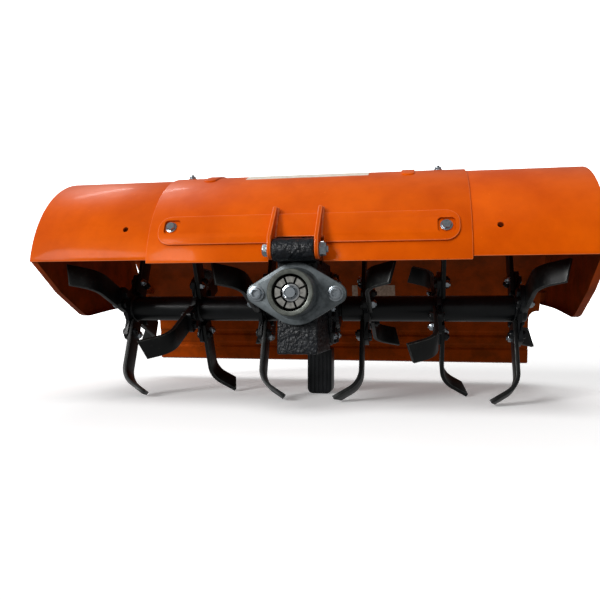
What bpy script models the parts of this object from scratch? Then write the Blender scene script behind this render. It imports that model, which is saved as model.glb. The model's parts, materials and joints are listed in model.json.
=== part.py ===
"""Rotavator for a walking tractor: an orange hood over a rotor with 24 bent tines.

Metres, +Z up, standing on its tine tips and its depth foot on the plane Z = 0. The coupling
faces -Y, the rear flap hangs at +Y, and +X is the right-hand side seen from the front.
Outlines in the YZ plane are given from the rotor's axis, as (towards the rear, up).
"""

from math import acos, asin, atan2, cos, degrees, floor, hypot, radians, sin, sqrt

import bmesh
import bpy
from mathutils import Vector

# Clearances
GAP = 0.0003
RUNNING = 0.0005

# Overall sizes
WORKING_WIDTH = 1.0
TINE_RADIUS = 0.187
SHEET = 0.003

# Hood: a rolled sheet in three parts, the middle one lapped over the two wings
HOOD_CLEARANCE = 0.024
HOOD_CENTRE = (-0.007, 0.053)
HOOD_LIP_ANGLE = 172.0
HOOD_REAR_ANGLE = 30.0
FACET_ANGLE = 7.0
CENTRE_PANEL_WIDTH = 0.562
PANEL_OFFSET = 0.010
PANEL_LAP = 0.035
CENTRE_LIP_DROP = 0.0065

# Stiffening bar and the two ears that clamp the gearbox lug
BAR_LENGTH = 0.524
BAR_HEIGHT = 0.057
BAR_THICKNESS = 0.004
BAR_CORNER = 0.024
BAR_LOW_ANGLE = 165.2
EAR_THICKNESS = 0.007
EAR_EYE_RADIUS = 0.017
EAR_TOP_ANGLE = 147.0
LUG_RADIUS = 0.0195
LUG_BOLT_RADIUS = 0.007
BOLT_HEX_RADIUS = 0.0127
BOLT_HEAD = 0.009
BOLT_NUT = 0.011
BOLT_END = 0.016
LUG_STANDOFF = 0.0137
LUG_HEIGHT = 0.095
NOTCH_SIDE = 0.004

# Side plates: dished ends with a turned rim, fitted inside the hood's ends
RIM = 0.014
SIDE_REAR = 0.268
SIDE_LOW = -0.018

# Gearbox and its coupling flange
GEARBOX_WIDTH = 0.072
GEARBOX_BOTTOM = -0.0825
GEARBOX_TOP = 0.085
CASING_RADIUS = 0.075
CASE_WALL = 0.008
COVER_RADIUS = 0.072
COVER_DEPTH = 0.015
RIB_THICKNESS = 0.010
COUPLING_HEIGHT = 0.022
COUPLING_WIDTH = 0.172
COUPLING_TALL = 0.107
COUPLING_PLATE = 0.014
COUPLING_EYE_RADIUS = 0.018
COUPLING_BOLT_RADIUS = 0.0075
COUPLING_CLEARANCE = 0.018
BOSS_RADIUS = 0.0385
BOSS_BORE = 0.0305
BOSS_LENGTH = 0.052

# Input clutch
CLUTCH_RADIUS = 0.0265
CLUTCH_BODY = 0.034
CLUTCH_TOOTH = 0.011
CLUTCH_SLOT = 0.0034
CLUTCH_HOLLOW = 0.0165
CLUTCH_TEETH = 8
INPUT_SHAFT_RADIUS = 0.0125
INPUT_SHAFT_DEPTH = 0.050
CLUTCH_SETBACK = 0.004

# Rotor
SHAFT_RADIUS = 0.016
TUBE_RADIUS = 0.0255
TUBE_END = 0.409
TUBE_SPACE = 0.004
FLANGE_PLACES = (0.106, 0.245, 0.393)
FLANGE_THICKNESS = 0.008
FLANGE_HUB_WALL = 0.0175
FLANGE_LOBE_RADIUS = 0.072
FLANGE_LOBE_WIDTH = 0.046

# Tines
TINE_WIDTH = 0.040
TINE_THICKNESS = 0.008
TINE_ROOT_SPACE = 0.0045
TINE_BEND_RADIUS = 0.045
TINE_BEND_ANGLE = 58.0
TINE_TIP_LENGTH = 0.036
TINE_TIP_SLANT = 0.012
TINE_BEND_STEPS = 6
TINE_PHASE = 22.5

# Rear flap and its hinge
FLAP_SIDE_SPACE = 0.008
FLAP_CORNER_WIDTH = 0.022
FLAP_CORNER_TOP = -0.002
FLAP_CORNER_RADIUS = 0.016
FLAP_KNEE = (0.233, 0.099)
FLAP_RIDGE = (0.318, -0.022)
FLAP_FOOT = (0.334, -0.125)
FLAP_HEM = 0.012
HINGE_ROD_RADIUS = 0.004
KNUCKLE_RADIUS = 0.0085
KNUCKLE_LENGTH = 0.030
KNUCKLE_SPACE = 0.0015
TONGUE_LENGTH = 0.028
TONGUE_INSET = 0.0002
HINGE_PLACES = (-0.360, 0.0, 0.360)
HINGE_STRIP_INSET = 0.052
HINGE_STRIP_ANGLE = 9.0
HINGE_SHEET_SPACE = 0.004
FLAP_STOP_HEIGHT = 0.012
FLAP_STOP_DEPTH = 0.018
FLAP_STOP_TOP = 0.052
FLAP_STOP_LENGTH = 0.036

# Depth foot under the gearbox
FOOT_WIDTH = 0.052
FOOT_DEPTH = 0.050
FOOT_PLACE = 0.084
FOOT_TOP = -0.083
FOOT_CORNER = 0.012
FOOT_ARM_WIDTH = 0.036
FOOT_ARM_THICKNESS = 0.012


def clear_scene():
    """Remove every object of the scene."""
    for obj in list(bpy.data.objects):
        bpy.data.objects.remove(obj, do_unlink=True)


def paint(name, colour, roughness, metallic=0.0):
    """A plain Principled material."""
    material = bpy.data.materials.new(name)
    material.use_nodes = True
    shader = material.node_tree.nodes["Principled BSDF"]
    shader.inputs["Base Color"].default_value = (*colour, 1.0)
    shader.inputs["Roughness"].default_value = roughness
    shader.inputs["Metallic"].default_value = metallic
    return material


def empty(name, place):
    """An empty that carries the pieces of one body."""
    obj = bpy.data.objects.new(name, None)
    obj.location = place
    bpy.context.scene.collection.objects.link(obj)
    return obj


def finish(bm, name, parent, look):
    """Turn a bmesh into a shaded object under its parent."""
    bmesh.ops.remove_doubles(bm, verts=bm.verts, dist=1e-6)
    bmesh.ops.recalc_face_normals(bm, faces=bm.faces)
    mesh = bpy.data.meshes.new(name)
    bm.to_mesh(mesh)
    bm.free()
    mesh.materials.append(paint(name, *look))
    mesh.shade_smooth()
    mesh.set_sharp_from_angle(angle=radians(30))
    obj = bpy.data.objects.new(name, mesh)
    obj.parent = parent
    bpy.context.scene.collection.objects.link(obj)
    return obj


def arc(centre, radius, start, end, steps):
    """Points along an arc, angles in degrees from the first axis towards the second."""
    turn = [radians(start + (end - start) * i / steps) for i in range(steps + 1)]
    return [(centre[0] + radius * cos(a), centre[1] + radius * sin(a)) for a in turn]


def circle(centre, radius, steps=32):
    """Points round a full circle."""
    return arc(centre, radius, 0, 360, steps)[:-1]


def fill(bm, loops, to_point):
    """A flat face inside the first loop, with the other loops as holes."""
    edges = []
    for loop in loops:
        verts = [bm.verts.new(to_point(point)) for point in loop]
        edges += [bm.edges.new(pair) for pair in zip(verts, verts[1:] + verts[:1])]
    made = bmesh.ops.triangle_fill(bm, use_beauty=True, use_dissolve=False, edges=edges)
    return [item for item in made["geom"] if isinstance(item, bmesh.types.BMFace)]


def thicken(bm, faces, offset):
    """Extrude faces by an offset into a closed solid."""
    grown = bmesh.ops.extrude_face_region(bm, geom=faces)
    verts = [item for item in grown["geom"] if isinstance(item, bmesh.types.BMVert)]
    bmesh.ops.translate(bm, verts=verts, vec=offset)


def side_prisms(outline, spans, holes=()):
    """A YZ outline extruded along X, once for each pair of ends."""
    bm = bmesh.new()
    for left, right in spans:
        faces = fill(bm, (outline, *holes), lambda p: (left, p[0], p[1]))
        thicken(bm, faces, (right - left, 0, 0))
    return bm


def side_prism(outline, left, right, holes=()):
    """A YZ outline extruded along X from left to right."""
    return side_prisms(outline, ((left, right),), holes)


def front_prism(outline, front, back, holes=()):
    """An XZ outline extruded along Y from front to back."""
    bm = bmesh.new()
    faces = fill(bm, (outline, *holes), lambda p: (p[0], front, p[1]))
    thicken(bm, faces, (0, back - front, 0))
    return bm


def hood_point(radius, angle):
    """A point on the hood's faceted arc. Facets meet at whole multiples of their angle."""
    low = FACET_ANGLE * floor(angle / FACET_ANGLE)
    share = (angle - low) / FACET_ANGLE
    ends = [radians(low), radians(low + FACET_ANGLE)]
    across = (1 - share) * cos(ends[0]) + share * cos(ends[1])
    up = (1 - share) * sin(ends[0]) + share * sin(ends[1])
    return (HOOD_CENTRE[0] + radius * across, HOOD_CENTRE[1] + radius * up)


def hood_arc(radius, start, end):
    """The hood's arc from one angle to another, with a point at each facet's edge."""
    low, high = sorted((start, end))
    count = int(180 / FACET_ANGLE) + 1
    inner = [FACET_ANGLE * i for i in range(count) if low + 0.01 < FACET_ANGLE * i < high - 0.01]
    angles = [low, *inner, high]
    if start > end:
        angles.reverse()
    return [hood_point(radius, angle) for angle in angles]


def rolled_sheet(outline, radius, thickness, start_angle, holes=()):
    """A flat outline of (X, angle below the start) rolled round the hood's centre."""
    bm = bmesh.new()
    fill(bm, (outline, *holes), lambda p: (p[0], p[1], 0))
    lowest = start_angle - max(point[1] for point in outline)
    count = int(180 / FACET_ANGLE) + 1
    for angle in (FACET_ANGLE * i for i in range(count)):
        if lowest < angle < start_angle:
            bmesh.ops.bisect_plane(
                bm,
                geom=bm.verts[:] + bm.edges[:] + bm.faces[:],
                dist=1e-6,
                plane_co=(0, start_angle - angle, 0),
                plane_no=(0, 1, 0),
            )
    thicken(bm, bm.faces[:], (0, 0, thickness))
    for vert in bm.verts:
        vert.co.y, vert.co.z = hood_point(radius + vert.co.z, start_angle - vert.co.y)
    return bm


def cut(obj, bm, name):
    """Cut a hidden helper shape from an object."""
    cutter = finish(bm, name, obj.parent, ((0.5, 0.5, 0.5), 0.5))
    cutter.hide_render = True
    cutter.display_type = "WIRE"
    modifier = obj.modifiers.new(name, "BOOLEAN")
    modifier.object = cutter
    modifier.operation = "DIFFERENCE"
    modifier.solver = "EXACT"


def join(obj, bm, name):
    """Weld a hidden helper shape to an object."""
    piece = finish(bm, name, obj.parent, ((0.5, 0.5, 0.5), 0.5))
    piece.hide_render = True
    piece.display_type = "WIRE"
    modifier = obj.modifiers.new(name, "BOOLEAN")
    modifier.object = piece
    modifier.operation = "UNION"
    modifier.solver = "EXACT"


ORANGE = ((0.72, 0.11, 0.004), 0.28)
BLACK = ((0.012, 0.013, 0.015), 0.45)
CAST_BLACK = ((0.012, 0.014, 0.020), 0.55)
CAST_GREY = ((0.30, 0.32, 0.33), 0.45, 0.8)
STEEL = ((0.55, 0.56, 0.58), 0.30, 1.0)

TINE_ROOT = TUBE_RADIUS + TINE_ROOT_SPACE
FLANGE_HUB_RADIUS = TUBE_RADIUS + FLANGE_HUB_WALL
FLAP_WIDTH = WORKING_WIDTH - 2 * FLAP_SIDE_SPACE
HINGE_STRIP_WIDTH = FLAP_WIDTH - 2 * HINGE_STRIP_INSET
HOOD_RADIUS = TINE_RADIUS + HOOD_CLEARANCE
CENTRE_RADIUS = HOOD_RADIUS + GAP
BAR_RADIUS = CENTRE_RADIUS + SHEET + GAP
EAR_SEAT_RADIUS = BAR_RADIUS + BAR_THICKNESS + GAP
LUG_RISE = LUG_HEIGHT - HOOD_CENTRE[1]
LUG_AXIS = (HOOD_CENTRE[0] - sqrt(EAR_SEAT_RADIUS**2 - LUG_RISE**2) - LUG_STANDOFF, LUG_HEIGHT)
EAR_INNER = GEARBOX_WIDTH / 2 + GAP
EAR_OUTER = EAR_INNER + EAR_THICKNESS
NOTCH_HALF = EAR_OUTER + NOTCH_SIDE
NOTCH_TOP = LUG_AXIS[1] + LUG_RADIUS + NOTCH_SIDE


def tine_path():
    """The middle line of a tine that points down and bends towards +X."""
    bend = radians(TINE_BEND_ANGLE)
    low = TINE_RADIUS - TINE_BEND_RADIUS * sin(bend) - TINE_TIP_LENGTH * cos(bend)
    curve = arc((TINE_BEND_RADIUS, -low), TINE_BEND_RADIUS, 180, 180 + TINE_BEND_ANGLE, TINE_BEND_STEPS)
    tip = (curve[-1][0] + TINE_TIP_LENGTH * sin(bend), -TINE_RADIUS)
    return [(0.0, -TINE_ROOT), *curve, tip]


def tine_tip_corners():
    """Outward reach of the tip's lowest corner on the leading and on the trailing edge."""
    bend = radians(TINE_BEND_ANGLE)
    trailing = TINE_RADIUS + TINE_THICKNESS / 2 * sin(bend)
    return trailing - TINE_TIP_SLANT * cos(bend), trailing


def rest_turn():
    """Turn of the rotor at which the leading and the trailing tine rows both touch the floor."""
    leading, trailing = tine_tip_corners()
    phase = radians(TINE_PHASE)
    parts = []
    for reach in (leading, trailing):
        corner = phase - atan2(TINE_WIDTH / 2, reach)
        radius = hypot(reach, TINE_WIDTH / 2)
        parts.append((radius * cos(corner), radius * sin(corner)))
    (low_a, out_a), (low_b, out_b) = parts
    return atan2(low_b - low_a, out_a + out_b)


def floor_drop():
    """Depth of the floor under the rotor's axis."""
    leading = tine_tip_corners()[0]
    turn = radians(TINE_PHASE) - atan2(TINE_WIDTH / 2, leading) - rest_turn()
    return hypot(leading, TINE_WIDTH / 2) * cos(turn)


COUPLING_FRONT = -(TINE_RADIUS + COUPLING_CLEARANCE + COUPLING_PLATE)
BOSS_FRONT = COUPLING_FRONT - BOSS_LENGTH
REAR_REACH = FLAP_FOOT[0] + FLAP_HEM
ROTOR_Y = -(BOSS_FRONT + REAR_REACH) / 2
ROTOR_Z = floor_drop()

HINGE_RADIUS = BAR_RADIUS + SHEET - KNUCKLE_RADIUS
HINGE_ANGLE = HOOD_REAR_ANGLE - degrees((KNUCKLE_RADIUS + 2 * RUNNING) / HINGE_RADIUS)
HINGE = hood_point(HINGE_RADIUS, HINGE_ANGLE)


def hood_parts(frame):
    """The hood's middle panel and its two wings."""
    lip = HOOD_LIP_ANGLE + degrees(CENTRE_LIP_DROP / CENTRE_RADIUS)
    span = lip - HOOD_REAR_ANGLE
    half = CENTRE_PANEL_WIDTH / 2
    left, right = PANEL_OFFSET - half, PANEL_OFFSET + half
    notch = lip - notch_angle(CENTRE_RADIUS)
    outline = [(left, 0), (-NOTCH_HALF, 0), (-NOTCH_HALF, notch), (NOTCH_HALF, notch)]
    outline += [(NOTCH_HALF, 0), (right, 0), (right, span), (left, span)]
    finish(rolled_sheet(outline, CENTRE_RADIUS, SHEET, lip), "hood_centre", frame, ORANGE)
    inner = hood_arc(HOOD_RADIUS - SHEET, HOOD_REAR_ANGLE, HOOD_LIP_ANGLE)
    outline = hood_arc(HOOD_RADIUS, HOOD_LIP_ANGLE, HOOD_REAR_ANGLE) + inner
    spans = (("left", -WORKING_WIDTH / 2, left + PANEL_LAP), ("right", right - PANEL_LAP, WORKING_WIDTH / 2))
    for name, *ends in spans:
        finish(side_prism(outline, *ends), "hood_wing_" + name, frame, ORANGE)


def notch_angle(radius):
    """Angle on the hood at the top of the notch that the gearbox lug comes through."""
    return 180 - degrees(asin((NOTCH_TOP - HOOD_CENTRE[1]) / radius))


def stiffener(frame):
    """The flat bar across the hood's front, its ends rounded, notched over the lug."""
    half = BAR_LENGTH / 2
    span = degrees(BAR_HEIGHT / BAR_RADIUS)
    corner = degrees(BAR_CORNER / BAR_RADIUS)
    notch = BAR_LOW_ANGLE - notch_angle(BAR_RADIUS)
    outline = [(-NOTCH_HALF, 0), (-NOTCH_HALF, notch), (NOTCH_HALF, notch), (NOTCH_HALF, 0)]
    turns = ((half, 0, -90), (half, span, 0), (-half, span, 90), (-half, 0, 180))
    for across, along, start in turns:
        middle_x = across - BAR_CORNER * (1 if across > 0 else -1)
        middle_s = along + corner * (1 if along == 0 else -1)
        for x, s in arc((0, 0), 1, start, start + 90, 4):
            outline.append((PANEL_OFFSET + middle_x + BAR_CORNER * x, middle_s + corner * s))
    sheet = rolled_sheet(outline, BAR_RADIUS, BAR_THICKNESS, BAR_LOW_ANGLE)
    finish(sheet, "stiffener_bar", frame, ORANGE)


def ears(frame):
    """Two plates on the bar, each with an eye for the bolt through the gearbox lug."""
    low = notch_angle(EAR_SEAT_RADIUS) - 1
    seat = hood_arc(EAR_SEAT_RADIUS, EAR_TOP_ANGLE, low)
    eye = arc(LUG_AXIS, EAR_EYE_RADIUS, 40, -180, 10)
    top = Vector(seat[0]) + Vector((-0.012, 0.002))
    outline = [*seat, *eye, (LUG_AXIS[0] - EAR_EYE_RADIUS, LUG_AXIS[1] + 0.020), tuple(top)]
    hole = circle(LUG_AXIS, LUG_BOLT_RADIUS, 16)
    for name, ends in (("left", (-EAR_OUTER, -EAR_INNER)), ("right", (EAR_INNER, EAR_OUTER))):
        finish(side_prism(outline, *ends, holes=(hole,)), "hood_ear_" + name, frame, ORANGE)


def ear_bolt(frame):
    """The bolt through ears and lug, with its head on the left and its nut on the right."""
    seat = EAR_OUTER + GAP
    shank = circle(LUG_AXIS, LUG_BOLT_RADIUS - GAP, 16)
    bolt = finish(side_prism(shank, -seat - 0.001, seat + BOLT_END), "ear_bolt", frame, STEEL)
    hexagon = circle(LUG_AXIS, BOLT_HEX_RADIUS, 6)
    join(bolt, side_prism(hexagon, -seat - BOLT_HEAD, -seat), "ear_bolt_head")
    join(bolt, side_prism(hexagon, seat, seat + BOLT_NUT), "ear_bolt_nut")


def side_plates(frame):
    """The hood's dished ends, each with a turned rim and a stop for the flap."""
    outline = hood_arc(HOOD_RADIUS - SHEET - GAP, HOOD_LIP_ANGLE, HOOD_REAR_ANGLE)
    outline += [(0.2005, 0.1165), (SIDE_REAR - 0.006, 0.050), (SIDE_REAR, 0.014), (SIDE_REAR - 0.010, 0.004)]
    outline += [(0.111, 0.002), (0.023, -0.012), (-0.020, SIDE_LOW), (-0.030, SIDE_LOW)]
    outline += [(-0.042, SIDE_LOW + 0.006), (-0.130, 0.028)]
    outside = WORKING_WIDTH / 2 - GAP
    stop_back = flap_front(FLAP_STOP_TOP) - 2 * GAP
    stop = [(stop_back - FLAP_STOP_DEPTH, FLAP_STOP_TOP - FLAP_STOP_HEIGHT)]
    stop += [(stop_back, FLAP_STOP_TOP - FLAP_STOP_HEIGHT), (stop_back, FLAP_STOP_TOP)]
    stop += [(stop_back - FLAP_STOP_DEPTH, FLAP_STOP_TOP)]
    for name, side in (("left", -1), ("right", 1)):
        bm = side_prism(outline, side * outside, side * (outside - RIM))
        bmesh.ops.recalc_face_normals(bm, faces=bm.faces)
        inner = [face for face in bm.faces if face.normal.x * side < -0.9]
        bmesh.ops.inset_region(bm, faces=inner, thickness=SHEET, use_even_offset=True)
        verts = list({vert for face in inner for vert in face.verts})
        bmesh.ops.translate(bm, verts=verts, vec=(side * (RIM - SHEET), 0, 0))
        plate = finish(bm, "side_plate_" + name, frame, ORANGE)
        ends = (side * (outside - SHEET / 2), side * (outside - FLAP_STOP_LENGTH))
        join(plate, side_prism(stop, *ends), "flap_stop_" + name)


def flap_front(height):
    """Distance behind the rotor's axis of the flap's front surface at a height."""
    slope = (FLAP_RIDGE[0] - FLAP_KNEE[0]) / (FLAP_KNEE[1] - FLAP_RIDGE[1])
    middle = FLAP_KNEE[0] + slope * (FLAP_KNEE[1] - height)
    return middle - SHEET / 2 * hypot(1, slope)


def gearbox(frame):
    """The cast gearbox with its lug, its two round covers and the rib under the hood."""
    front = COUPLING_FRONT + COUPLING_PLATE + GAP
    plate_top = COUPLING_HEIGHT + COUPLING_TALL / 2
    outline = [(front, GEARBOX_BOTTOM), (front, plate_top + 0.001)]
    outline += arc(LUG_AXIS, LUG_RADIUS, -60, -270, 12)
    outline += [(-0.175, LUG_AXIS[1] + LUG_RADIUS - 0.003), (-0.150, GEARBOX_TOP), (-0.030, GEARBOX_TOP)]
    outline += arc((0, 0), CASING_RADIUS, 60, -90, 15)
    outline.append((-0.060, GEARBOX_BOTTOM))
    half = GEARBOX_WIDTH / 2
    shaft_hole = circle((0, 0), SHAFT_RADIUS + RUNNING)
    lug_hole = circle(LUG_AXIS, LUG_BOLT_RADIUS, 16)
    case = finish(side_prism(outline, -half, half, (shaft_hole, lug_hole)), "gearbox_case", frame, CAST_BLACK)
    bore = circle((0, COUPLING_HEIGHT), INPUT_SHAFT_RADIUS + RUNNING)
    cut(case, front_prism(bore, front - 0.010, front + INPUT_SHAFT_DEPTH), "input_bore")
    low, high = GEARBOX_BOTTOM + CASE_WALL, GEARBOX_TOP - CASE_WALL
    hollow = [(front + 2 * CASE_WALL, low), (front + 2 * CASE_WALL, high), (-0.030, high)]
    hollow += [*arc((0, 0), CASING_RADIUS - CASE_WALL, 60, -90, 10), (-0.060, low)]
    inside = half - CASE_WALL
    cut(case, side_prism(hollow, -inside, inside), "gearbox_hollow")
    disc = circle((0, 0), COVER_RADIUS, 36)
    for name, side in (("left", -1), ("right", 1)):
        ends = (side * EAR_INNER, side * (EAR_INNER + COVER_DEPTH))
        finish(side_prism(disc, *ends, holes=(shaft_hole,)), "gearbox_cover_" + name, frame, CAST_BLACK)
    foot = GEARBOX_TOP + GAP
    roof = [hood_point(CENTRE_RADIUS - GAP, angle) for angle in (110, 112, 119, 126)]
    rib = [(-0.130, foot), (-0.070, foot), *roof]
    finish(side_prism(rib, -RIB_THICKNESS / 2, RIB_THICKNESS / 2), "hood_rib", frame, BLACK)


def coupling_outline():
    """Two eyes and a round middle joined by their common tangents."""
    middle = COUPLING_TALL / 2
    reach = COUPLING_WIDTH / 2 - COUPLING_EYE_RADIUS
    lean = degrees(acos((middle - COUPLING_EYE_RADIUS) / reach))
    centre = (0, COUPLING_HEIGHT)
    outline = arc(centre, middle, lean, 180 - lean, 6)
    outline += arc((-reach, COUPLING_HEIGHT), COUPLING_EYE_RADIUS, 180 - lean, 180 + lean, 8)
    outline += arc(centre, middle, 180 + lean, 360 - lean, 6)
    outline += arc((reach, COUPLING_HEIGHT), COUPLING_EYE_RADIUS, -lean, lean, 8)
    return outline


def coupling(frame):
    """The two-bolt coupling flange with its hollow boss."""
    reach = COUPLING_WIDTH / 2 - COUPLING_EYE_RADIUS
    bolts = [circle((side * reach, COUPLING_HEIGHT), COUPLING_BOLT_RADIUS, 16) for side in (-1, 1)]
    back = COUPLING_FRONT + COUPLING_PLATE
    plate = front_prism(coupling_outline(), COUPLING_FRONT, back, bolts)
    flange = finish(plate, "coupling_flange", frame, CAST_GREY)
    centre = (0, COUPLING_HEIGHT)
    boss = front_prism(circle(centre, BOSS_RADIUS, 40), BOSS_FRONT, COUPLING_FRONT + COUPLING_PLATE / 2)
    join(flange, boss, "coupling_boss")
    cut(flange, front_prism(circle(centre, BOSS_BORE, 40), BOSS_FRONT - 0.010, back + 0.010), "boss_bore")


def depth_foot(frame):
    """The ribbed foot under the gearbox, on its arm."""
    low = -ROTOR_Z
    half = FOOT_WIDTH / 2
    outline = [(-half, FOOT_TOP), (half, FOOT_TOP)]
    outline += arc((half - FOOT_CORNER, low + FOOT_CORNER), FOOT_CORNER, 0, -90, 5)
    outline += arc((FOOT_CORNER - half, low + FOOT_CORNER), FOOT_CORNER, -90, -180, 5)
    ends = (FOOT_PLACE - FOOT_DEPTH / 2, FOOT_PLACE + FOOT_DEPTH / 2)
    finish(front_prism(outline, *ends), "depth_foot", frame, BLACK)
    seat = arc((0, 0), CASING_RADIUS + GAP, -15, -51, 4)
    top = FOOT_TOP + GAP
    outline = [*seat, (seat[-1][0] + 0.006, top), (ends[1] - 0.005, top), (ends[1] - 0.005, seat[0][1])]
    finish(side_prism(outline, -FOOT_ARM_WIDTH / 2, FOOT_ARM_WIDTH / 2), "foot_arm", frame, BLACK)


def hinge_spans(offsets, length):
    """The ends along X of like pieces, one at each hinge place and offset."""
    middles = [place + offset for place in HINGE_PLACES for offset in offsets]
    return [(middle - length / 2, middle + length / 2) for middle in middles]


def hinge(frame):
    """The hinge strip on the hood's rear edge and the rod through its knuckles."""
    low, high = BAR_RADIUS, BAR_RADIUS + SHEET
    top = HOOD_REAR_ANGLE + HINGE_STRIP_ANGLE
    outline = hood_arc(high, top, HOOD_REAR_ANGLE) + hood_arc(low, HOOD_REAR_ANGLE, top)
    half = HINGE_STRIP_WIDTH / 2
    strip = finish(side_prism(outline, -half, half), "hinge_strip", frame, ORANGE)
    apart = KNUCKLE_LENGTH + KNUCKLE_SPACE
    spans = hinge_spans((-apart, apart), KNUCKLE_LENGTH)
    tongue_spans = hinge_spans((-apart, apart), TONGUE_LENGTH)
    tongue_top = HOOD_REAR_ANGLE + HINGE_STRIP_ANGLE / 2
    inside = (low + TONGUE_INSET, high - TONGUE_INSET)
    tongue = hood_arc(inside[1], tongue_top, HINGE_ANGLE) + hood_arc(inside[0], HINGE_ANGLE, tongue_top)
    join(strip, side_prisms(circle(HINGE, KNUCKLE_RADIUS, 20), spans), "strip_knuckles")
    join(strip, side_prisms(tongue, tongue_spans), "strip_tongues")
    bore = circle(HINGE, HINGE_ROD_RADIUS + RUNNING, 16)
    cut(strip, side_prism(bore, -half - 0.010, half + 0.010), "strip_bore")
    rod = circle(HINGE, HINGE_ROD_RADIUS, 16)
    finish(side_prism(rod, -half - 0.006, half + 0.006), "hinge_rod", frame, STEEL)


def sheet_outline(points, thickness):
    """A bent sheet's outline, from the middle line of its section."""
    sides = ([], [])
    for i, point in enumerate(points):
        here = Vector(point)
        before = (here - Vector(points[i - 1])).normalized() if i else None
        after = (Vector(points[i + 1]) - here).normalized() if i + 1 < len(points) else None
        before = before or after
        after = after or before
        middle = (before + after).normalized()
        reach = thickness / 2 / middle.dot(before)
        normal = Vector((-middle.y, middle.x)) * reach
        sides[0].append(tuple(here + normal))
        sides[1].append(tuple(here - normal))
    return sides[0] + sides[1][::-1]


def rear_flap(pivot):
    """The flap, bent along two lines and hemmed, with its knuckles on the hinge rod."""
    local = [Vector(point) - Vector(HINGE) for point in (FLAP_KNEE, FLAP_RIDGE, FLAP_FOOT)]
    lead = local[0].normalized()
    hem = local[2] + Vector((FLAP_HEM, -FLAP_HEM / 4))
    points = [lead * (KNUCKLE_RADIUS + HINGE_SHEET_SPACE), *local, hem]
    half = FLAP_WIDTH / 2
    flap = finish(side_prism(sheet_outline(points, SHEET), -half, half), "rear_flap", pivot, ORANGE)
    inner, top = half - FLAP_CORNER_WIDTH, FLAP_CORNER_TOP - HINGE[1]
    low, radius = FLAP_FOOT[1] - HINGE[1] - 2 * FLAP_HEM, FLAP_CORNER_RADIUS
    bend = arc((inner + radius, top - radius), radius, 90, 180, 6)
    corner = [(half + radius, low), (half + radius, top), *bend, (inner, low)]
    for side in (-1, 1):
        outline = [(side * x, z) for x, z in corner]
        cut(flap, front_prism(outline, 0, REAR_REACH), "flap_corner")
    spans = hinge_spans((0,), KNUCKLE_LENGTH)
    seat = lead * (KNUCKLE_RADIUS - SHEET / 2)
    tongue_end = lead * (KNUCKLE_RADIUS + 2 * HINGE_SHEET_SPACE)
    tongue = sheet_outline([seat, tongue_end], SHEET - 2 * TONGUE_INSET)
    join(flap, side_prisms(circle((0, 0), KNUCKLE_RADIUS, 20), spans), "flap_knuckles")
    join(flap, side_prisms(tongue, hinge_spans((0,), TONGUE_LENGTH)), "flap_tongues")
    bore = circle((0, 0), HINGE_ROD_RADIUS + RUNNING, 16)
    cut(flap, side_prism(bore, -half, half), "flap_bore")


def input_clutch(spindle):
    """The toothed clutch on its shaft, turning in the coupling's boss."""
    front = BOSS_FRONT + CLUTCH_SETBACK
    gearbox_front = COUPLING_FRONT + COUPLING_PLATE + GAP
    body = front_prism(circle((0, 0), CLUTCH_RADIUS, 40), front, front + CLUTCH_BODY)
    clutch = finish(body, "input_clutch", spindle, STEEL)
    outside = front - 0.010
    tooth_back = front + CLUTCH_TOOTH
    cut(clutch, front_prism(circle((0, 0), CLUTCH_HOLLOW, 32), outside, tooth_back), "clutch_hollow")
    half = CLUTCH_SLOT / 2
    reach = CLUTCH_RADIUS + 0.010
    for step in range(CLUTCH_TEETH // 2):
        turn = radians(360 / CLUTCH_TEETH * (step + 0.5))
        slot = [(-reach, -half), (reach, -half), (reach, half), (-reach, half)]
        slot = [(x * cos(turn) - z * sin(turn), x * sin(turn) + z * cos(turn)) for x, z in slot]
        cut(clutch, front_prism(slot, outside, tooth_back), "clutch_slot_%d" % (step + 1))
    end = gearbox_front + INPUT_SHAFT_DEPTH - 0.001
    shaft = front_prism(circle((0, 0), INPUT_SHAFT_RADIUS, 24), front + 0.002, end)
    join(clutch, shaft, "clutch_shaft")


def rotor_shaft(axle):
    """The shaft through the gearbox and a tube on each side of it."""
    shaft_end = TUBE_END - 0.020
    shaft = circle((0, 0), SHAFT_RADIUS)
    finish(side_prism(shaft, -shaft_end, shaft_end), "rotor_shaft", axle, BLACK)
    start = EAR_INNER + COVER_DEPTH + TUBE_SPACE
    bore = circle((0, 0), SHAFT_RADIUS + GAP + 0.0001)
    for name, side in (("left", -1), ("right", 1)):
        tube = side_prism(circle((0, 0), TUBE_RADIUS), side * start, side * TUBE_END, (bore,))
        finish(tube, "rotor_tube_" + name, axle, BLACK)


def flange_outline():
    """A four-lobed plate, with a lobe straight down."""
    half = FLANGE_LOBE_WIDTH / 2
    shoulder = degrees(asin(half / FLANGE_HUB_RADIUS))
    chamfer = half / 3
    lobe = [(-half, -FLANGE_LOBE_RADIUS + chamfer), (-half + chamfer, -FLANGE_LOBE_RADIUS)]
    lobe += [(half - chamfer, -FLANGE_LOBE_RADIUS), (half, -FLANGE_LOBE_RADIUS + chamfer)]
    lobe += arc((0, 0), FLANGE_HUB_RADIUS, shoulder - 90, -shoulder, 3)
    outline = []
    for step in range(4):
        turn = radians(90 * step)
        outline += [(y * cos(turn) - z * sin(turn), y * sin(turn) + z * cos(turn)) for y, z in lobe]
    return outline


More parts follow.
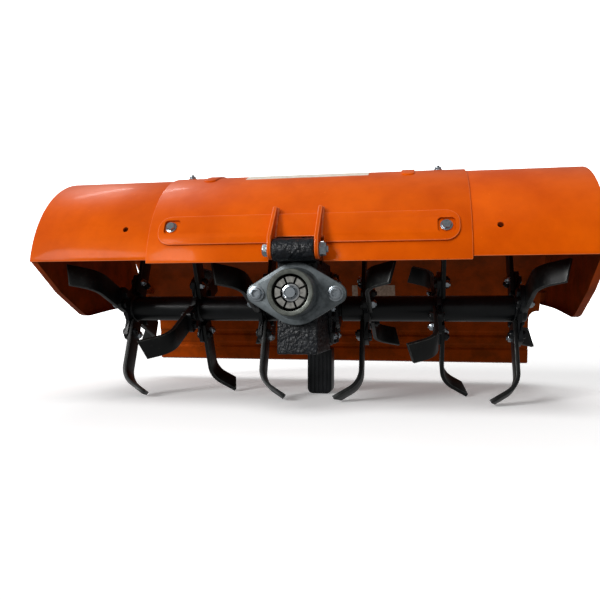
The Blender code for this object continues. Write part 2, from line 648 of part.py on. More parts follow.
def tine_mesh(side):
    """A tine pointing down: a flat shank that bends to one side, its tip cut on a slant."""
    path = tine_path()
    half = TINE_WIDTH / 2
    bm = front_prism(sheet_outline(path, TINE_THICKNESS), -half, half)
    tip = Vector((path[-1][0], half, path[-1][1]))
    bend = radians(TINE_BEND_ANGLE)
    for vert in bm.verts:
        if (vert.co - tip).length < TINE_THICKNESS:
            vert.co -= Vector((sin(bend), 0, -cos(bend))) * TINE_TIP_SLANT
        vert.co.x *= side
    return bm


def rotor_flanges(axle):
    """Six flanges, each with four tines: one pair bent to each side."""
    outline = flange_outline()
    bore = circle((0, 0), TUBE_RADIUS + GAP)
    seat = FLANGE_THICKNESS / 2 + GAP + TINE_THICKNESS / 2
    places = [-place for place in reversed(FLANGE_PLACES)] + list(FLANGE_PLACES)
    for number, place in enumerate(places, start=1):
        phase = radians(TINE_PHASE if number in (2, 5) else -TINE_PHASE) + rest_turn()
        half = FLANGE_THICKNESS / 2
        plate = side_prism(outline, -half, half, (bore,))
        flange = finish(plate, "blade_flange_%d" % number, axle, BLACK)
        flange.location.x = place
        flange.rotation_euler.x = phase
        upright_side = -1 if number in (4, 6) else 1
        for step, direction in enumerate(("down", "rear", "up", "front")):
            side = upright_side if step % 2 == 0 else -upright_side
            tine = finish(tine_mesh(side), "tine_%d_%s" % (number, direction), axle, BLACK)
            tine.location.x = place + side * seat
            tine.rotation_euler.x = phase + radians(90 * step)


def main():
    """Build the rotavator, body by body."""
    clear_scene()
    frame = empty("machine", (0, ROTOR_Y, ROTOR_Z))
    axle = empty("rotor_axis", (0, ROTOR_Y, ROTOR_Z))
    spindle = empty("input_axis", (0, ROTOR_Y, ROTOR_Z + COUPLING_HEIGHT))
    pivot = empty("flap_axis", (0, ROTOR_Y + HINGE[0], ROTOR_Z + HINGE[1]))
    hood_parts(frame)
    stiffener(frame)
    ears(frame)
    ear_bolt(frame)
    side_plates(frame)
    gearbox(frame)
    coupling(frame)
    depth_foot(frame)
    hinge(frame)
    rear_flap(pivot)
    input_clutch(spindle)
    rotor_shaft(axle)
    rotor_flanges(axle)


main()
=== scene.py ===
"""Looks of a one-metre rotavator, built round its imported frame.

Metres, +Z up, +X to the right, the coupling faces -Y. Every new piece has its place in its mesh
and rides on a body of the frame. Sheets are laid out flat as (across, along), cut and rounded,
and then rolled round the hood's centre line.
"""

import json
import logging
import math
from collections.abc import Iterable, Sequence
from dataclasses import dataclass, field
from enum import Enum

import bmesh
import bpy
from mathutils import Matrix, Vector, noise

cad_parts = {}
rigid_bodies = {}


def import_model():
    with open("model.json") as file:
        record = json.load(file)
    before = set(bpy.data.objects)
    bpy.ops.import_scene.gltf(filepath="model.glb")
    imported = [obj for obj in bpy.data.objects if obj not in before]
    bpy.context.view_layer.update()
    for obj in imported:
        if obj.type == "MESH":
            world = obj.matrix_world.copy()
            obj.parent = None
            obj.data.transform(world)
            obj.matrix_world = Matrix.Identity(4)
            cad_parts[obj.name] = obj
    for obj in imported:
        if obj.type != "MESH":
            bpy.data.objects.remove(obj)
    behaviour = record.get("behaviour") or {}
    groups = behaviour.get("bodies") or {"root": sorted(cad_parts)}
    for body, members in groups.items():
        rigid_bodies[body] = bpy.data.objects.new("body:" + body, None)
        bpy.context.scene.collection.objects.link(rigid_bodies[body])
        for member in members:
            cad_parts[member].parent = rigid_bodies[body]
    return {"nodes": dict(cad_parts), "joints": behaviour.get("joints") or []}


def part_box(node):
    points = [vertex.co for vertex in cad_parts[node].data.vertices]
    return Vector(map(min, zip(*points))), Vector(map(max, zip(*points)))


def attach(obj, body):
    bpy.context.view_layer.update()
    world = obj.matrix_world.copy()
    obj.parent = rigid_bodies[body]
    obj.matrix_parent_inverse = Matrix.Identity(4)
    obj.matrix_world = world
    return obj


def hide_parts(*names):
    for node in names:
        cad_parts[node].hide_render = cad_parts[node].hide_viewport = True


LOG = logging.getLogger("rotavator")
MM = 0.001
X_AXIS, Y_AXIS, Z_AXIS = Vector((1, 0, 0)), Vector((0, 1, 0)), Vector((0, 0, 1))
LEFT, RIGHT = -1, 1
SIDES = (("left", LEFT), ("right", RIGHT))
TINY = 1e-6

Mesh, Tree, Socket = bmesh.types.BMesh, bpy.types.NodeTree, bpy.types.NodeSocket
Vert, Edge, Face = bmesh.types.BMVert, bmesh.types.BMEdge, bmesh.types.BMFace


class Body(Enum):
    """Moving bodies of the frame."""

    FRAME = "frame"
    ROTOR = "rotor"
    INPUT = "input"
    FLAP = "flap"


class Head(Enum):
    """Kinds of fastener head."""

    HEXAGON = "hexagon"
    NUT = "nut"
    SOCKET = "socket"


# Colour and node helpers ------------------------------------------------------------------


def linear(code: str) -> tuple[float, float, float, float]:
    """Turn an sRGB hex colour into linear values.

    Args:
        code: Six hex digits, with or without a leading hash.

    Returns:
        Linear red, green, blue and an alpha of one.
    """
    digits = code.lstrip("#")
    parts = [int(digits[i : i + 2], 16) / 255 for i in (0, 2, 4)]
    r, g, b = (p / 12.92 if p <= 0.04045 else ((p + 0.055) / 1.055) ** 2.4 for p in parts)
    return (r, g, b, 1.0)


def add_node(
    tree: Tree, kind: str, sockets: dict | None = None, **settings: object
) -> bpy.types.Node:
    """Add a node, set its attributes, and fill or link its sockets.

    Args:
        tree: Node tree that takes the node.
        kind: Node type name after "ShaderNode".
        sockets: Socket name or index to a constant, or to an output socket to link from.
        **settings: Attributes of the node.

    Returns:
        The new node.
    """
    made = tree.nodes.new("ShaderNode" + kind)
    for name, value in settings.items():
        setattr(made, name, value)
    for key, value in (sockets or {}).items():
        if isinstance(value, Socket):
            tree.links.new(value, made.inputs[key])
        else:
            made.inputs[key].default_value = value
    return made


def noise_of(tree: Tree, place: Socket, size: float, detail: float, rough: float = 0.5) -> Socket:
    """Noise from zero to one with features of a size in mm."""
    sockets = {"Vector": place, "Scale": 1 / (size * MM), "Detail": detail, "Roughness": rough}
    return add_node(tree, "TexNoise", sockets).outputs["Fac"]


@dataclass(frozen=True)
class Finish:
    """A real surface: its colours, how far it shines, and the sizes of its texture in mm."""

    name: str
    colour: str
    shade: str
    roughness: float
    metallic: float = 0.0
    coat: float = 0.0
    coat_roughness: float = 0.05
    roughness_spread: float = 0.05
    patch: float = 60.0
    grain: float = 2.0
    grain_depth: float = 0.05
    wave: float = 80.0
    wave_depth: float = 0.0
    wear: str = ""
    wear_patch: float = 5.0
    wear_share: float = 0.35
    wear_metallic: float = 0.9
    # Pale specks over the base colour; on the sand casting these are painted glints.
    fleck_and_painted_glint: str = ""
    fleck_and_painted_glint_size: float = 3.0
    specular: float = 0.5
    tint: str = "FFFFFF"

    def build(self) -> bpy.types.Material:
        """Make the procedural material.

        Returns:
            The material, with a colour, roughness and relief that vary over the surface.
        """
        material = bpy.data.materials.new(self.name)
        material.use_nodes = True
        material.diffuse_color = linear(self.colour)
        tree = material.node_tree
        shader = tree.nodes["Principled BSDF"]
        place = add_node(tree, "TexCoord").outputs["Object"]
        patches = noise_of(tree, place, self.patch, 5.0, 0.62)
        share = self.remap(tree, patches, 0.38, 0.66, 0.0, 1.0)
        sockets = {0: share, 6: linear(self.colour), 7: linear(self.shade)}
        colour = add_node(tree, "Mix", sockets, data_type="RGBA")
        base = colour.outputs[2]
        spread = self.roughness_spread
        rough = self.remap(
            tree, patches, 0.3, 0.7, self.roughness - spread, self.roughness + spread
        )
        metallic = None
        if self.fleck_and_painted_glint:
            base, _ = self.overlay(tree, place, base, self.fleck_and_painted_glint, self.fleck_and_painted_glint_size, 0.68, 0.74)
        if self.wear:
            low = 0.62 - self.wear_share * 0.3
            base, mask = self.overlay(
                tree, place, base, self.wear, self.wear_patch, low, low + 0.08
            )
            metallic = self.remap(tree, mask, 0.0, 1.0, self.metallic, self.wear_metallic)
        relief = self.relief(tree, place)
        tree.links.new(base, shader.inputs["Base Color"])
        tree.links.new(rough, shader.inputs["Roughness"])
        tree.links.new(relief, shader.inputs["Normal"])
        if metallic is None:
            shader.inputs["Metallic"].default_value = self.metallic
        else:
            tree.links.new(metallic, shader.inputs["Metallic"])
        if not self.metallic:
            shader.inputs["Specular IOR Level"].default_value = self.specular
            shader.inputs["Specular Tint"].default_value = linear(self.tint)
        if self.coat:
            shader.inputs["Coat Weight"].default_value = self.coat
            shader.inputs["Coat Roughness"].default_value = self.coat_roughness
        return material

    @staticmethod
    def remap(
        tree: Tree, value: Socket, low: float, high: float, to_low: float, to_high: float
    ) -> Socket:
        """Map a range of values to another, clamped, and return the output socket."""
        sockets = {0: value, 1: low, 2: high, 3: to_low, 4: to_high}
        return add_node(tree, "MapRange", sockets).outputs[0]

    def overlay(
        self, tree: Tree, place: Socket, base: Socket, colour: str, size: float, low: float,
        high: float
    ) -> tuple[Socket, Socket]:
        """Lay patches of another colour over the base.

        Args:
            tree: Material's node tree.
            place: Coordinates.
            base: Colour below.
            colour: Hex colour of the patches.
            size: Size of a patch in mm.
            low: Noise value where a patch begins.
            high: Noise value where a patch is full.

        Returns:
            The mixed colour and the patches' mask.
        """
        spots = noise_of(tree, place, size, 6.0, 0.7)
        mask = self.remap(tree, spots, low, high, 0.0, 1.0)
        mixed = add_node(tree, "Mix", {0: mask, 6: base, 7: linear(colour)}, data_type="RGBA")
        return mixed.outputs[2], mask

    def relief(self, tree: Tree, place: Socket) -> Socket:
        """Fine grain over a slow wave in the sheet, as one normal."""
        normal = None
        for size, depth in ((self.wave, self.wave_depth), (self.grain, self.grain_depth)):
            if not depth:
                continue
            height = noise_of(tree, place, size, 3.0)
            sockets = {"Height": height, "Distance": depth * MM, "Strength": 1.0}
            if normal is not None:
                sockets["Normal"] = normal
            normal = add_node(tree, "Bump", sockets).outputs["Normal"]
        return normal


@dataclass(frozen=True)
class TurnedFinish(Finish):
    """A face turned on a lathe, with rings round an axis along Y."""

    centre: tuple[float, float, float] = (0.0, 0.0, 0.0)
    pitch: float = 1.2

    def relief(self, tree: Tree, place: Socket) -> Socket:
        """Turning marks a little apart, drawn coarser than the real feed so that they show."""
        moved = add_node(tree, "Mapping", {"Vector": place, "Location": [-c for c in self.centre]})
        flat = add_node(
            tree, "VectorMath", {0: moved.outputs[0], 1: (1, 0, 1)}, operation="MULTIPLY"
        )
        reach = add_node(tree, "VectorMath", {0: flat.outputs[0]}, operation="LENGTH")
        turns = add_node(
            tree, "Math", {0: reach.outputs["Value"], 1: math.tau / (self.pitch * MM)},
            operation="MULTIPLY"
        )
        rings = add_node(tree, "Math", {0: turns.outputs[0]}, operation="SINE")
        sockets = {"Height": rings.outputs[0], "Distance": 0.03 * MM, "Strength": 0.6}
        sockets["Normal"] = super().relief(tree, place)
        return add_node(tree, "Bump", sockets).outputs["Normal"]


# Gloss enamel sprayed on rolled sheet: a wet coat over a slightly wavy sheet, with orange peel
# of about 2 mm and a little deeper colour where the coat is thick.
ENAMEL = Finish(
    "gloss_enamel_on_rolled_sheet", "D95802", "C64A01", 0.42, coat=0.05, coat_roughness=0.10,
    specular=0.3, tint="FF8A2A", patch=110, grain=2.2, grain_depth=0.012, wave=60, wave_depth=0.9,
    fleck_and_painted_glint="E8701E", fleck_and_painted_glint_size=18
)
# Lighter enamel on the rolled and sheared edges: a painted highlight along the bevels.
ENAMEL_EDGE_HIGHLIGHT = Finish(
    "enamel_with_painted_edge_highlight", "EC7434", "DC6020", 0.38, coat=0.2, patch=12, grain=2.2,
    grain_depth=0.02, specular=0.4
)
# The same enamel inside the hood, a little rougher, its colour darkened as painted shade.
ENAMEL_PAINTED_SHADE = Finish(
    "enamel_darkened_by_painted_shade_inside_hood", "9E3C07", "742F08", 0.5, specular=0.3, tint="FF8A2A", patch=45,
    grain=2.2, grain_depth=0.03, wave=60, wave_depth=0.8
)
# Weld beads under the enamel: lumpy, a shade lighter where the coat is thin.
WELD = Finish(
    "painted_weld_bead", "DE6A22", "B84708", 0.36, coat=0.4, patch=8, grain=3.0, grain_depth=0.5
)
# Satin black enamel on steel tube and plate: near black, soft highlights, dusty in patches.
SATIN_BLACK = Finish(
    "satin_black_enamel_on_steel", "06080A", "0E1114", 0.34, specular=0.3, patch=30, grain=1.4,
    grain_depth=0.02, roughness_spread=0.08
)
# Satin black paint over forged spring steel: scale marks, and grey steel showing in scuffs.
FORGED_BLACK = Finish(
    "painted_forged_spring_steel", "070809", "101211", 0.42, specular=0.28, patch=22, grain=2.6,
    grain_depth=0.10, roughness_spread=0.1, wear="2E2F2C", wear_patch=9, wear_share=0.12,
    wear_metallic=0.5
)
# Edges of the tines, rubbed down to dull grey steel.
GROUND_EDGE = Finish(
    "rubbed_steel_edge", "4A4C4B", "1C1E1E", 0.42, metallic=0.6, patch=9, grain=1.5,
    grain_depth=0.05
)
# Blue-black paint on rough sand-cast iron: its 3 mm grit is drawn at 5 mm so that it shows.
# The pale flecks on it are painted glints.
SAND_CAST = Finish(
    "painted_sand_cast_iron", "07090D", "10151C", 0.40, specular=0.4, patch=9, grain=5.0,
    grain_depth=2.4, roughness_spread=0.12, fleck_and_painted_glint="7A858F", fleck_and_painted_glint_size=2.8, wave=14, wave_depth=1.5
)
# Bare grey iron with a thin oil film: blotchy, half metallic, fine sand grain.
GREY_IRON = Finish(
    "oiled_grey_cast_iron", "70777A", "4E5558", 0.38, metallic=0.55, patch=14, grain=1.2,
    grain_depth=0.06, roughness_spread=0.1, fleck_and_painted_glint="A0A5A4", fleck_and_painted_glint_size=9
)
# Bright zinc plate on bolts: cool and bright, a faint grain.
ZINC = Finish(
    "bright_zinc_plate", "B4BBC1", "8E979E", 0.27, metallic=1.0, patch=5, grain=0.8,
    grain_depth=0.01
)
# Blasted steel of the clutch teeth: pale and dull; its hollow and slot walls take painted shade.
CLUTCH_STEEL = Finish(
    "blasted_steel", "8C8B86", "62615D", 0.46, metallic=0.6, patch=6, grain=0.9, grain_depth=0.03
)
# Polished washer of the clutch.
POLISHED = Finish(
    "polished_steel", "E2E4E6", "B9BDC0", 0.14, metallic=1.0, patch=8, grain=1.0, grain_depth=0.004
)
# Near black: painted shade on the clutch's hollow and the walls of its slots.
CLUTCH_PAINTED_SHADE = Finish(
    "near_black_painted_shade_in_clutch", "07080A", "121416", 0.3, patch=5, grain=1.0, grain_depth=0.02
)
# Blank printed film: pale and smooth, slightly yellowed.
LABEL = Finish(
    "printed_label_film", "EDE6DA", "D9CDBB", 0.42, patch=12, grain=1.0, grain_depth=0.004
)
DULL_LABEL = Finish(
    "dull_label_plate", "B79C86", "8F7461", 0.5, patch=6, grain=1.0, grain_depth=0.01
)


class Palette:
    """Materials made once from their finishes."""

    def __init__(self) -> None:
        """Start with none made."""
        self.made: dict[str, bpy.types.Material] = {}

    def of(self, finish: Finish) -> bpy.types.Material:
        """Give the material of a finish, making it the first time."""
        if finish.name not in self.made:
            self.made[finish.name] = finish.build()
        return self.made[finish.name]


PALETTE = Palette()


# Mesh helpers -----------------------------------------------------------------------------


def outwards(bm: Mesh) -> None:
    """Turn the faces of a mesh outwards."""
    bmesh.ops.recalc_face_normals(bm, faces=bm.faces)


def move(bm: Mesh, matrix: Matrix) -> None:
    """Move a whole mesh by a matrix."""
    bmesh.ops.transform(bm, matrix=matrix, verts=bm.verts)


def picked(geometry: Iterable, kind: type) -> list:
    """The elements of one kind among the results of an operator."""
    return [g for g in geometry if isinstance(g, kind)]


def facing(direction: Vector, track: str = "Z") -> Matrix:
    """The turn that lays an axis along a direction."""
    return direction.to_track_quat(track, "Y").to_matrix().to_4x4()


def turn_about(degrees: float, axis: str) -> Matrix:
    """A turn by some degrees about a main axis."""
    return Matrix.Rotation(math.radians(degrees), 4, axis)


def rectangle(left: float, right: float, low: float, high: float) -> list[tuple[float, float]]:
    """The four corners of a rectangle, from the lower left."""
    return [(left, low), (right, low), (right, high), (left, high)]


def notched(left: float, right: float, half: float, notch: float, tall: float) -> list:
    """The corners of a sheet whose lower edge has a notch, this far to both sides of X = 0."""
    lower = [(left, 0), (-half, 0), (-half, notch), (half, notch), (half, 0), (right, 0)]
    return lower + [(right, tall), (left, tall)]


def sleeve(start: float, end: float, inner: float, outer: float, edge: float) -> list:
    """The closed profile of a tube whose outer edges are chamfered."""
    return [
        (start, inner), (start, outer - edge), (start + edge, outer), (end - edge, outer),
        (end, outer - edge), (end, inner), (start, inner)
    ]


def block(matrix: Matrix) -> Mesh:
    """A unit cube under a matrix."""
    bm = bmesh.new()
    bmesh.ops.create_cube(bm, size=1.0, matrix=matrix)
    return bm


def put(name: str, data: bpy.types.ID) -> bpy.types.Object:
    """Make an object and link it to the scene."""
    obj = bpy.data.objects.new(name, data)
    bpy.context.scene.collection.objects.link(obj)
    return obj


def edges_sharper(bm: Mesh, degrees: float) -> list[Edge]:
    """Edges whose two faces meet at more than an angle."""
    limit = math.radians(degrees)
    return [e for e in bm.edges if len(e.link_faces) == 2 and e.calc_face_angle(0) > limit]


def soften(
    bm: Mesh, width: float, segments: int = 2, degrees: float = 35, material: int = -1
) -> None:
    """Bevel every edge sharper than an angle.

    Args:
        bm: Mesh to change.
        width: Bevel width.
        segments: Rows of faces in the bevel.
        degrees: Least angle of an edge that is bevelled.
        material: Material index of the bevel, or -1 for that of its neighbours.
    """
    bmesh.ops.remove_doubles(bm, verts=bm.verts, dist=TINY)
    outwards(bm)
    bevel(bm, edges_sharper(bm, degrees), width, segments, "EDGES", material)


def bevel(
    bm: Mesh, geometry: Sequence, width: float, segments: int, affect: str = "EDGES",
    material: int = -1
) -> None:
    """Bevel edges or vertices with a round profile."""
    bmesh.ops.bevel(
        bm, geom=list(geometry), offset=width, offset_type="OFFSET", segments=segments,
        profile=0.5, affect=affect, material=material, clamp_overlap=True
    )


def pull(bm: Mesh, faces: Sequence, offset: Sequence[float], keep: bool = True) -> list:
    """Extrude faces and move them, giving back the moved faces.

    Args:
        bm: Mesh to change.
        faces: Faces to extrude.
        offset: How far they move.
        keep: Whether the first faces stay, as the cap of a new solid.

    Returns:
        The moved faces.
    """
    grown = bmesh.ops.extrude_face_region(bm, geom=list(faces))["geom"]
    bmesh.ops.translate(bm, verts=picked(grown, Vert), vec=Vector(offset))
    drop_inner(bm, () if keep else faces)
    return picked(grown, Face)


def drop_inner(bm: Mesh, faces: Sequence) -> None:
    """Remove faces that an extrusion has left inside a solid."""
    for face in faces:
        if face.is_valid:
            bm.faces.remove(face)


def plate(
    corners: Sequence[Sequence[float]], thickness: float, radii: float | Sequence[float] = 0.0,
    segments: int = 6
) -> Mesh:
    """A flat plate in the XY plane, its corners rounded, standing up along Z.

    Args:
        corners: Corner points in order.
        thickness: Height along Z.
        radii: One radius for every corner, or one each.
        segments: Steps in a rounded corner.

    Returns:
        The plate's mesh.
    """
    bm = bmesh.new()
    verts = [bm.verts.new((x, y, 0)) for x, y in corners]
    bm.faces.new(verts)
    each = [radii] * len(verts) if isinstance(radii, (int, float)) else radii
    for radius in sorted({r for r in each if r > 0}):
        chosen = [v for v, r in zip(verts, each) if r == radius]
        bevel(bm, chosen, radius, segments, "VERTICES")
    pull(bm, bm.faces[:], (0, 0, thickness))
    outwards(bm)
    return bm


def rod(
    start: Vector, end: Vector, radius: float, sides: int = 32, end_radius: float | None = None
) -> Mesh:
    """A cylinder or cone between two points.

    Args:
        start: Middle of the first end.
        end: Middle of the other end.
        radius: Radius at the start.
        sides: Number of sides.
        end_radius: Radius at the end, the same if left out.

    Returns:
        The rod's mesh.
    """
    bm = bmesh.new()
    along = end - start
    bmesh.ops.create_cone(
        bm, cap_ends=True, segments=sides, radius1=radius,
        radius2=radius if end_radius is None else end_radius, depth=along.length,
        matrix=Matrix.Translation((start + end) / 2) @ facing(along)
    )
    return bm


def turned(
    profile: Iterable[Sequence[float]], centre: Vector, axis: Vector, steps: int = 48
) -> Mesh:
    """Spin a profile of (along, radius) round an axis through a centre.

    Args:
        profile: Points from one end to the other. A closed ring repeats its first point.
        centre: Point on the axis where along is zero.
        axis: Direction of the axis.
        steps: Steps round the circle.

    Returns:
        The turned mesh, with its normals outwards.
    """
    bm = bmesh.new()
    across = axis.orthogonal().normalized()
    verts = [bm.verts.new(centre + axis * a + across * r) for a, r in profile]
    edges = [bm.edges.new(pair) for pair in zip(verts, verts[1:])]
    bmesh.ops.spin(
        bm, geom=verts + edges, cent=centre, axis=axis, angle=math.tau, steps=steps,
        use_merge=True, use_duplicate=False
    )
    bmesh.ops.remove_doubles(bm, verts=bm.verts, dist=TINY)
    outwards(bm)
    return bm


def merge(
    bm: Mesh, other: Mesh, matrix: Matrix | None = None, material: int | None = None
) -> None:
    """Add another mesh to this one, moved by a matrix and given a material index, and free it."""
    if matrix is not None:
        move(other, matrix)
    if material is not None:
        for face in other.faces:
            face.material_index = material
    carrier = bpy.data.meshes.new("carrier")
    other.to_mesh(carrier)
    other.free()
    bm.from_mesh(carrier)
    bpy.data.meshes.remove(carrier)


def carve(bm: Mesh, tool: Mesh, operation: str = "DIFFERENCE") -> Mesh:
    """Cut one closed mesh from another, or weld them, and give back the result."""
    outwards(bm)
    outwards(tool)
    kept, cutter = as_object(bm), as_object(tool)
    result = modified(kept, "BOOLEAN", object=cutter, operation=operation, solver="EXACT")
    discard(kept, cutter)
    return result


def as_object(bm: Mesh) -> bpy.types.Object:
    """Make an object of a mesh for a modifier to work on, and free the mesh."""
    mesh = bpy.data.meshes.new("work")
    bm.to_mesh(mesh)
    bm.free()
    return put("work", mesh)


def modified(obj: bpy.types.Object, kind: str, **settings: object) -> Mesh:
    """The mesh of an object changed by one modifier, as a new bmesh."""
    modifier = obj.modifiers.new("work", kind)
    for name, value in settings.items():
        setattr(modifier, name, value)
    bpy.context.view_layer.update()
    live = obj.evaluated_get(bpy.context.evaluated_depsgraph_get())
    result = bmesh.new()
    result.from_mesh(live.to_mesh())
    live.to_mesh_clear()
    return result


def discard(*objects: bpy.types.Object) -> None:
    """Remove objects together with their meshes."""
    for obj in objects:
        mesh = obj.data
        bpy.data.objects.remove(obj)
        bpy.data.meshes.remove(mesh)


def cast(bm: Mesh, voxel: float, rough: float, grit: float) -> Mesh:
    """Give a mesh the soft edges and rough skin of a sand casting.

    Args:
        bm: Closed mesh, freed here.
        voxel: Size of the new faces.
        rough: Depth of the unevenness.
        grit: Size of the unevenness.

    Returns:
        The remeshed casting.
    """
    obj = as_object(bm)
    result = modified(obj, "REMESH", mode="VOXEL", voxel_size=voxel)
    discard(obj)
    for _ in range(2):
        bmesh.ops.smooth_vert(
            result, verts=result.verts, factor=0.5, use_axis_x=True, use_axis_y=True,
            use_axis_z=True
        )
    result.normal_update()
    for vert in result.verts:
        vert.co += vert.normal * rough * (noise.noise(vert.co / grit) - 0.4)
    return result


def slice_along(bm: Mesh, low: float, high: float, step: float, normal: Vector = Y_AXIS) -> None:
    """Cut a mesh across at even steps, so that it can be rolled."""
    count = int((high - low) / step)
    for i in range(1, count + 1):
        bmesh.ops.bisect_plane(
            bm, geom=bm.verts[:] + bm.edges[:] + bm.faces[:], dist=TINY,
            plane_co=normal * (low + i * step), plane_no=normal
        )


def piece(
    bm: Mesh, name: str, body: Body, finishes: Sequence[Finish],
    replaced: Sequence[str] = (), smooth: float = 35.0
) -> bpy.types.Object:
    """Turn a finished mesh into a piece that rides on a body.

    Args:
        bm: Mesh in the frame's coordinates, freed here.
        name: Name of the piece.
        body: Body that carries it.
        finishes: Finishes in the order of the mesh's material indices.
        replaced: Frame nodes that the piece stands for.
        smooth: Edges sharper than this many degrees stay sharp.

    Returns:
        The new object.
    """
    loose = [v for v in bm.verts if not v.link_faces]
    bmesh.ops.delete(bm, geom=loose, context="VERTS")
    mesh = bpy.data.meshes.new(name)
    bm.to_mesh(mesh)
    bm.free()
    for finish in finishes:
        mesh.materials.append(PALETTE.of(finish))
    mesh.shade_smooth()
    mesh.set_sharp_from_angle(angle=math.radians(smooth))
    obj = put(name, mesh)
    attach(obj, body.value)
    if replaced:
        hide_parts(*replaced)
    LOG.info("%s: %d faces on %s", name, len(mesh.polygons), body.value)
    return obj


# Fasteners --------------------------------------------------------------------------------


@dataclass(frozen=True)
class Fastener:
    """A bolt head or nut, with its washer, standing on a face."""

    head: Head = Head.HEXAGON
    across_flats: float = 0.017
    height: float = 0.007
    washer: float = 0.0
    washer_height: float = 0.0018
    stud: float = 0.0
    stud_radius: float = 0.005

    def mesh(self) -> Mesh:
        """Build the fastener standing on the XY plane."""
        bm = bmesh.new()
        base = 0.0
        if self.washer:
            base = self.washer_height
            disc = rod(Vector(), Z_AXIS * base, self.washer, 28)
            soften(disc, base * 0.3, 2)
            merge(bm, disc)
        top = base + self.height
        if self.head is Head.SOCKET:
            cap = rod(Z_AXIS * base, Z_AXIS * top, self.across_flats / 2, 36)
            soften(cap, 0.0012, 3)
            deep = Z_AXIS * (top - self.height * 0.62)
            tool = rod(deep, Z_AXIS * (top + 0.001), self.across_flats * 0.335, 6)
            merge(bm, carve(cap, tool))
        else:
            corner = self.across_flats / math.sqrt(3)
            nut = rod(Z_AXIS * base, Z_AXIS * top, corner, 6)
            chamfer = rod(
                Z_AXIS * (base - 0.001), Z_AXIS * (top + 0.0002), corner * 1.32, 32,
                self.across_flats * 0.47
            )
            merge(bm, carve(nut, chamfer, "INTERSECT"))
        if self.stud:
            end = rod(Z_AXIS * (top - 0.002), Z_AXIS * (top + self.stud), self.stud_radius, 20)
            soften(end, 0.0008, 1)
            merge(bm, end)
        return bm

    def add(
        self, bm: Mesh, place: Vector, axis: Vector, turn: float = 0.0, material: int | None = None
    ) -> None:
        """Stand the fastener at a place, along an axis, turned about it by some degrees."""
        spin = turn_about(turn, "Z")
        merge(bm, self.mesh(), Matrix.Translation(place) @ facing(axis) @ spin, material)


# Layout and the rolled hood ---------------------------------------------------------------


@dataclass(frozen=True)
class Layout:
    """Places that the frame gives: the rotor's axis, the input's axis and the flap's hinge."""

    rotor: Vector
    clutch: Vector
    hinge: Vector
    centre: Vector = field(init=False)

    def __post_init__(self) -> None:
        """Work out the hood's centre line from the rotor's axis."""
        object.__setattr__(self, "centre", self.rotor + Vector((0, -0.007, 0.053)))

    @classmethod
    def read(cls, joints: Sequence[dict]) -> "Layout":
        """Read the places from the frame's joints."""
        places = {joint["name"]: Vector(joint["pos_m"]) for joint in joints}
        return cls(places["rotor_spin"], places["input_spin"], places["flap_hinge"])

    def at(self, u: float = 0.0, w: float = 0.0, x: float = 0.0) -> Vector:
        """A point given by how far it lies behind and above the rotor's axis, and across."""
        return Vector((x, self.rotor.y + u, self.rotor.z + w))

    def roll(self, bm: Mesh, radius: float, start: float) -> Mesh:
        """Roll a flat sheet round the hood's centre.

        Args:
            bm: Flat mesh, X across, Y the length along the arc, Z the height over the radius.
            radius: Radius of the sheet's underside.
            start: Angle in degrees of the line Y = 0, from the rear over the top.

        Returns:
            The same mesh, rolled.
        """
        for vert in bm.verts:
            turn = math.radians(start) - vert.co.y / radius
            reach = radius + vert.co.z
            vert.co.y = self.centre.y + reach * math.cos(turn)
            vert.co.z = self.centre.z + reach * math.sin(turn)
        outwards(bm)
        return bm

    def on_hood(self, across: float, angle: float, radius: float) -> tuple[Vector, Vector]:
        """A point on the rolled hood and the direction straight out of it."""
        turn = math.radians(angle)
        out = Vector((0, math.cos(turn), math.sin(turn)))
        return Vector((across, self.centre.y, self.centre.z)) + out * radius, out


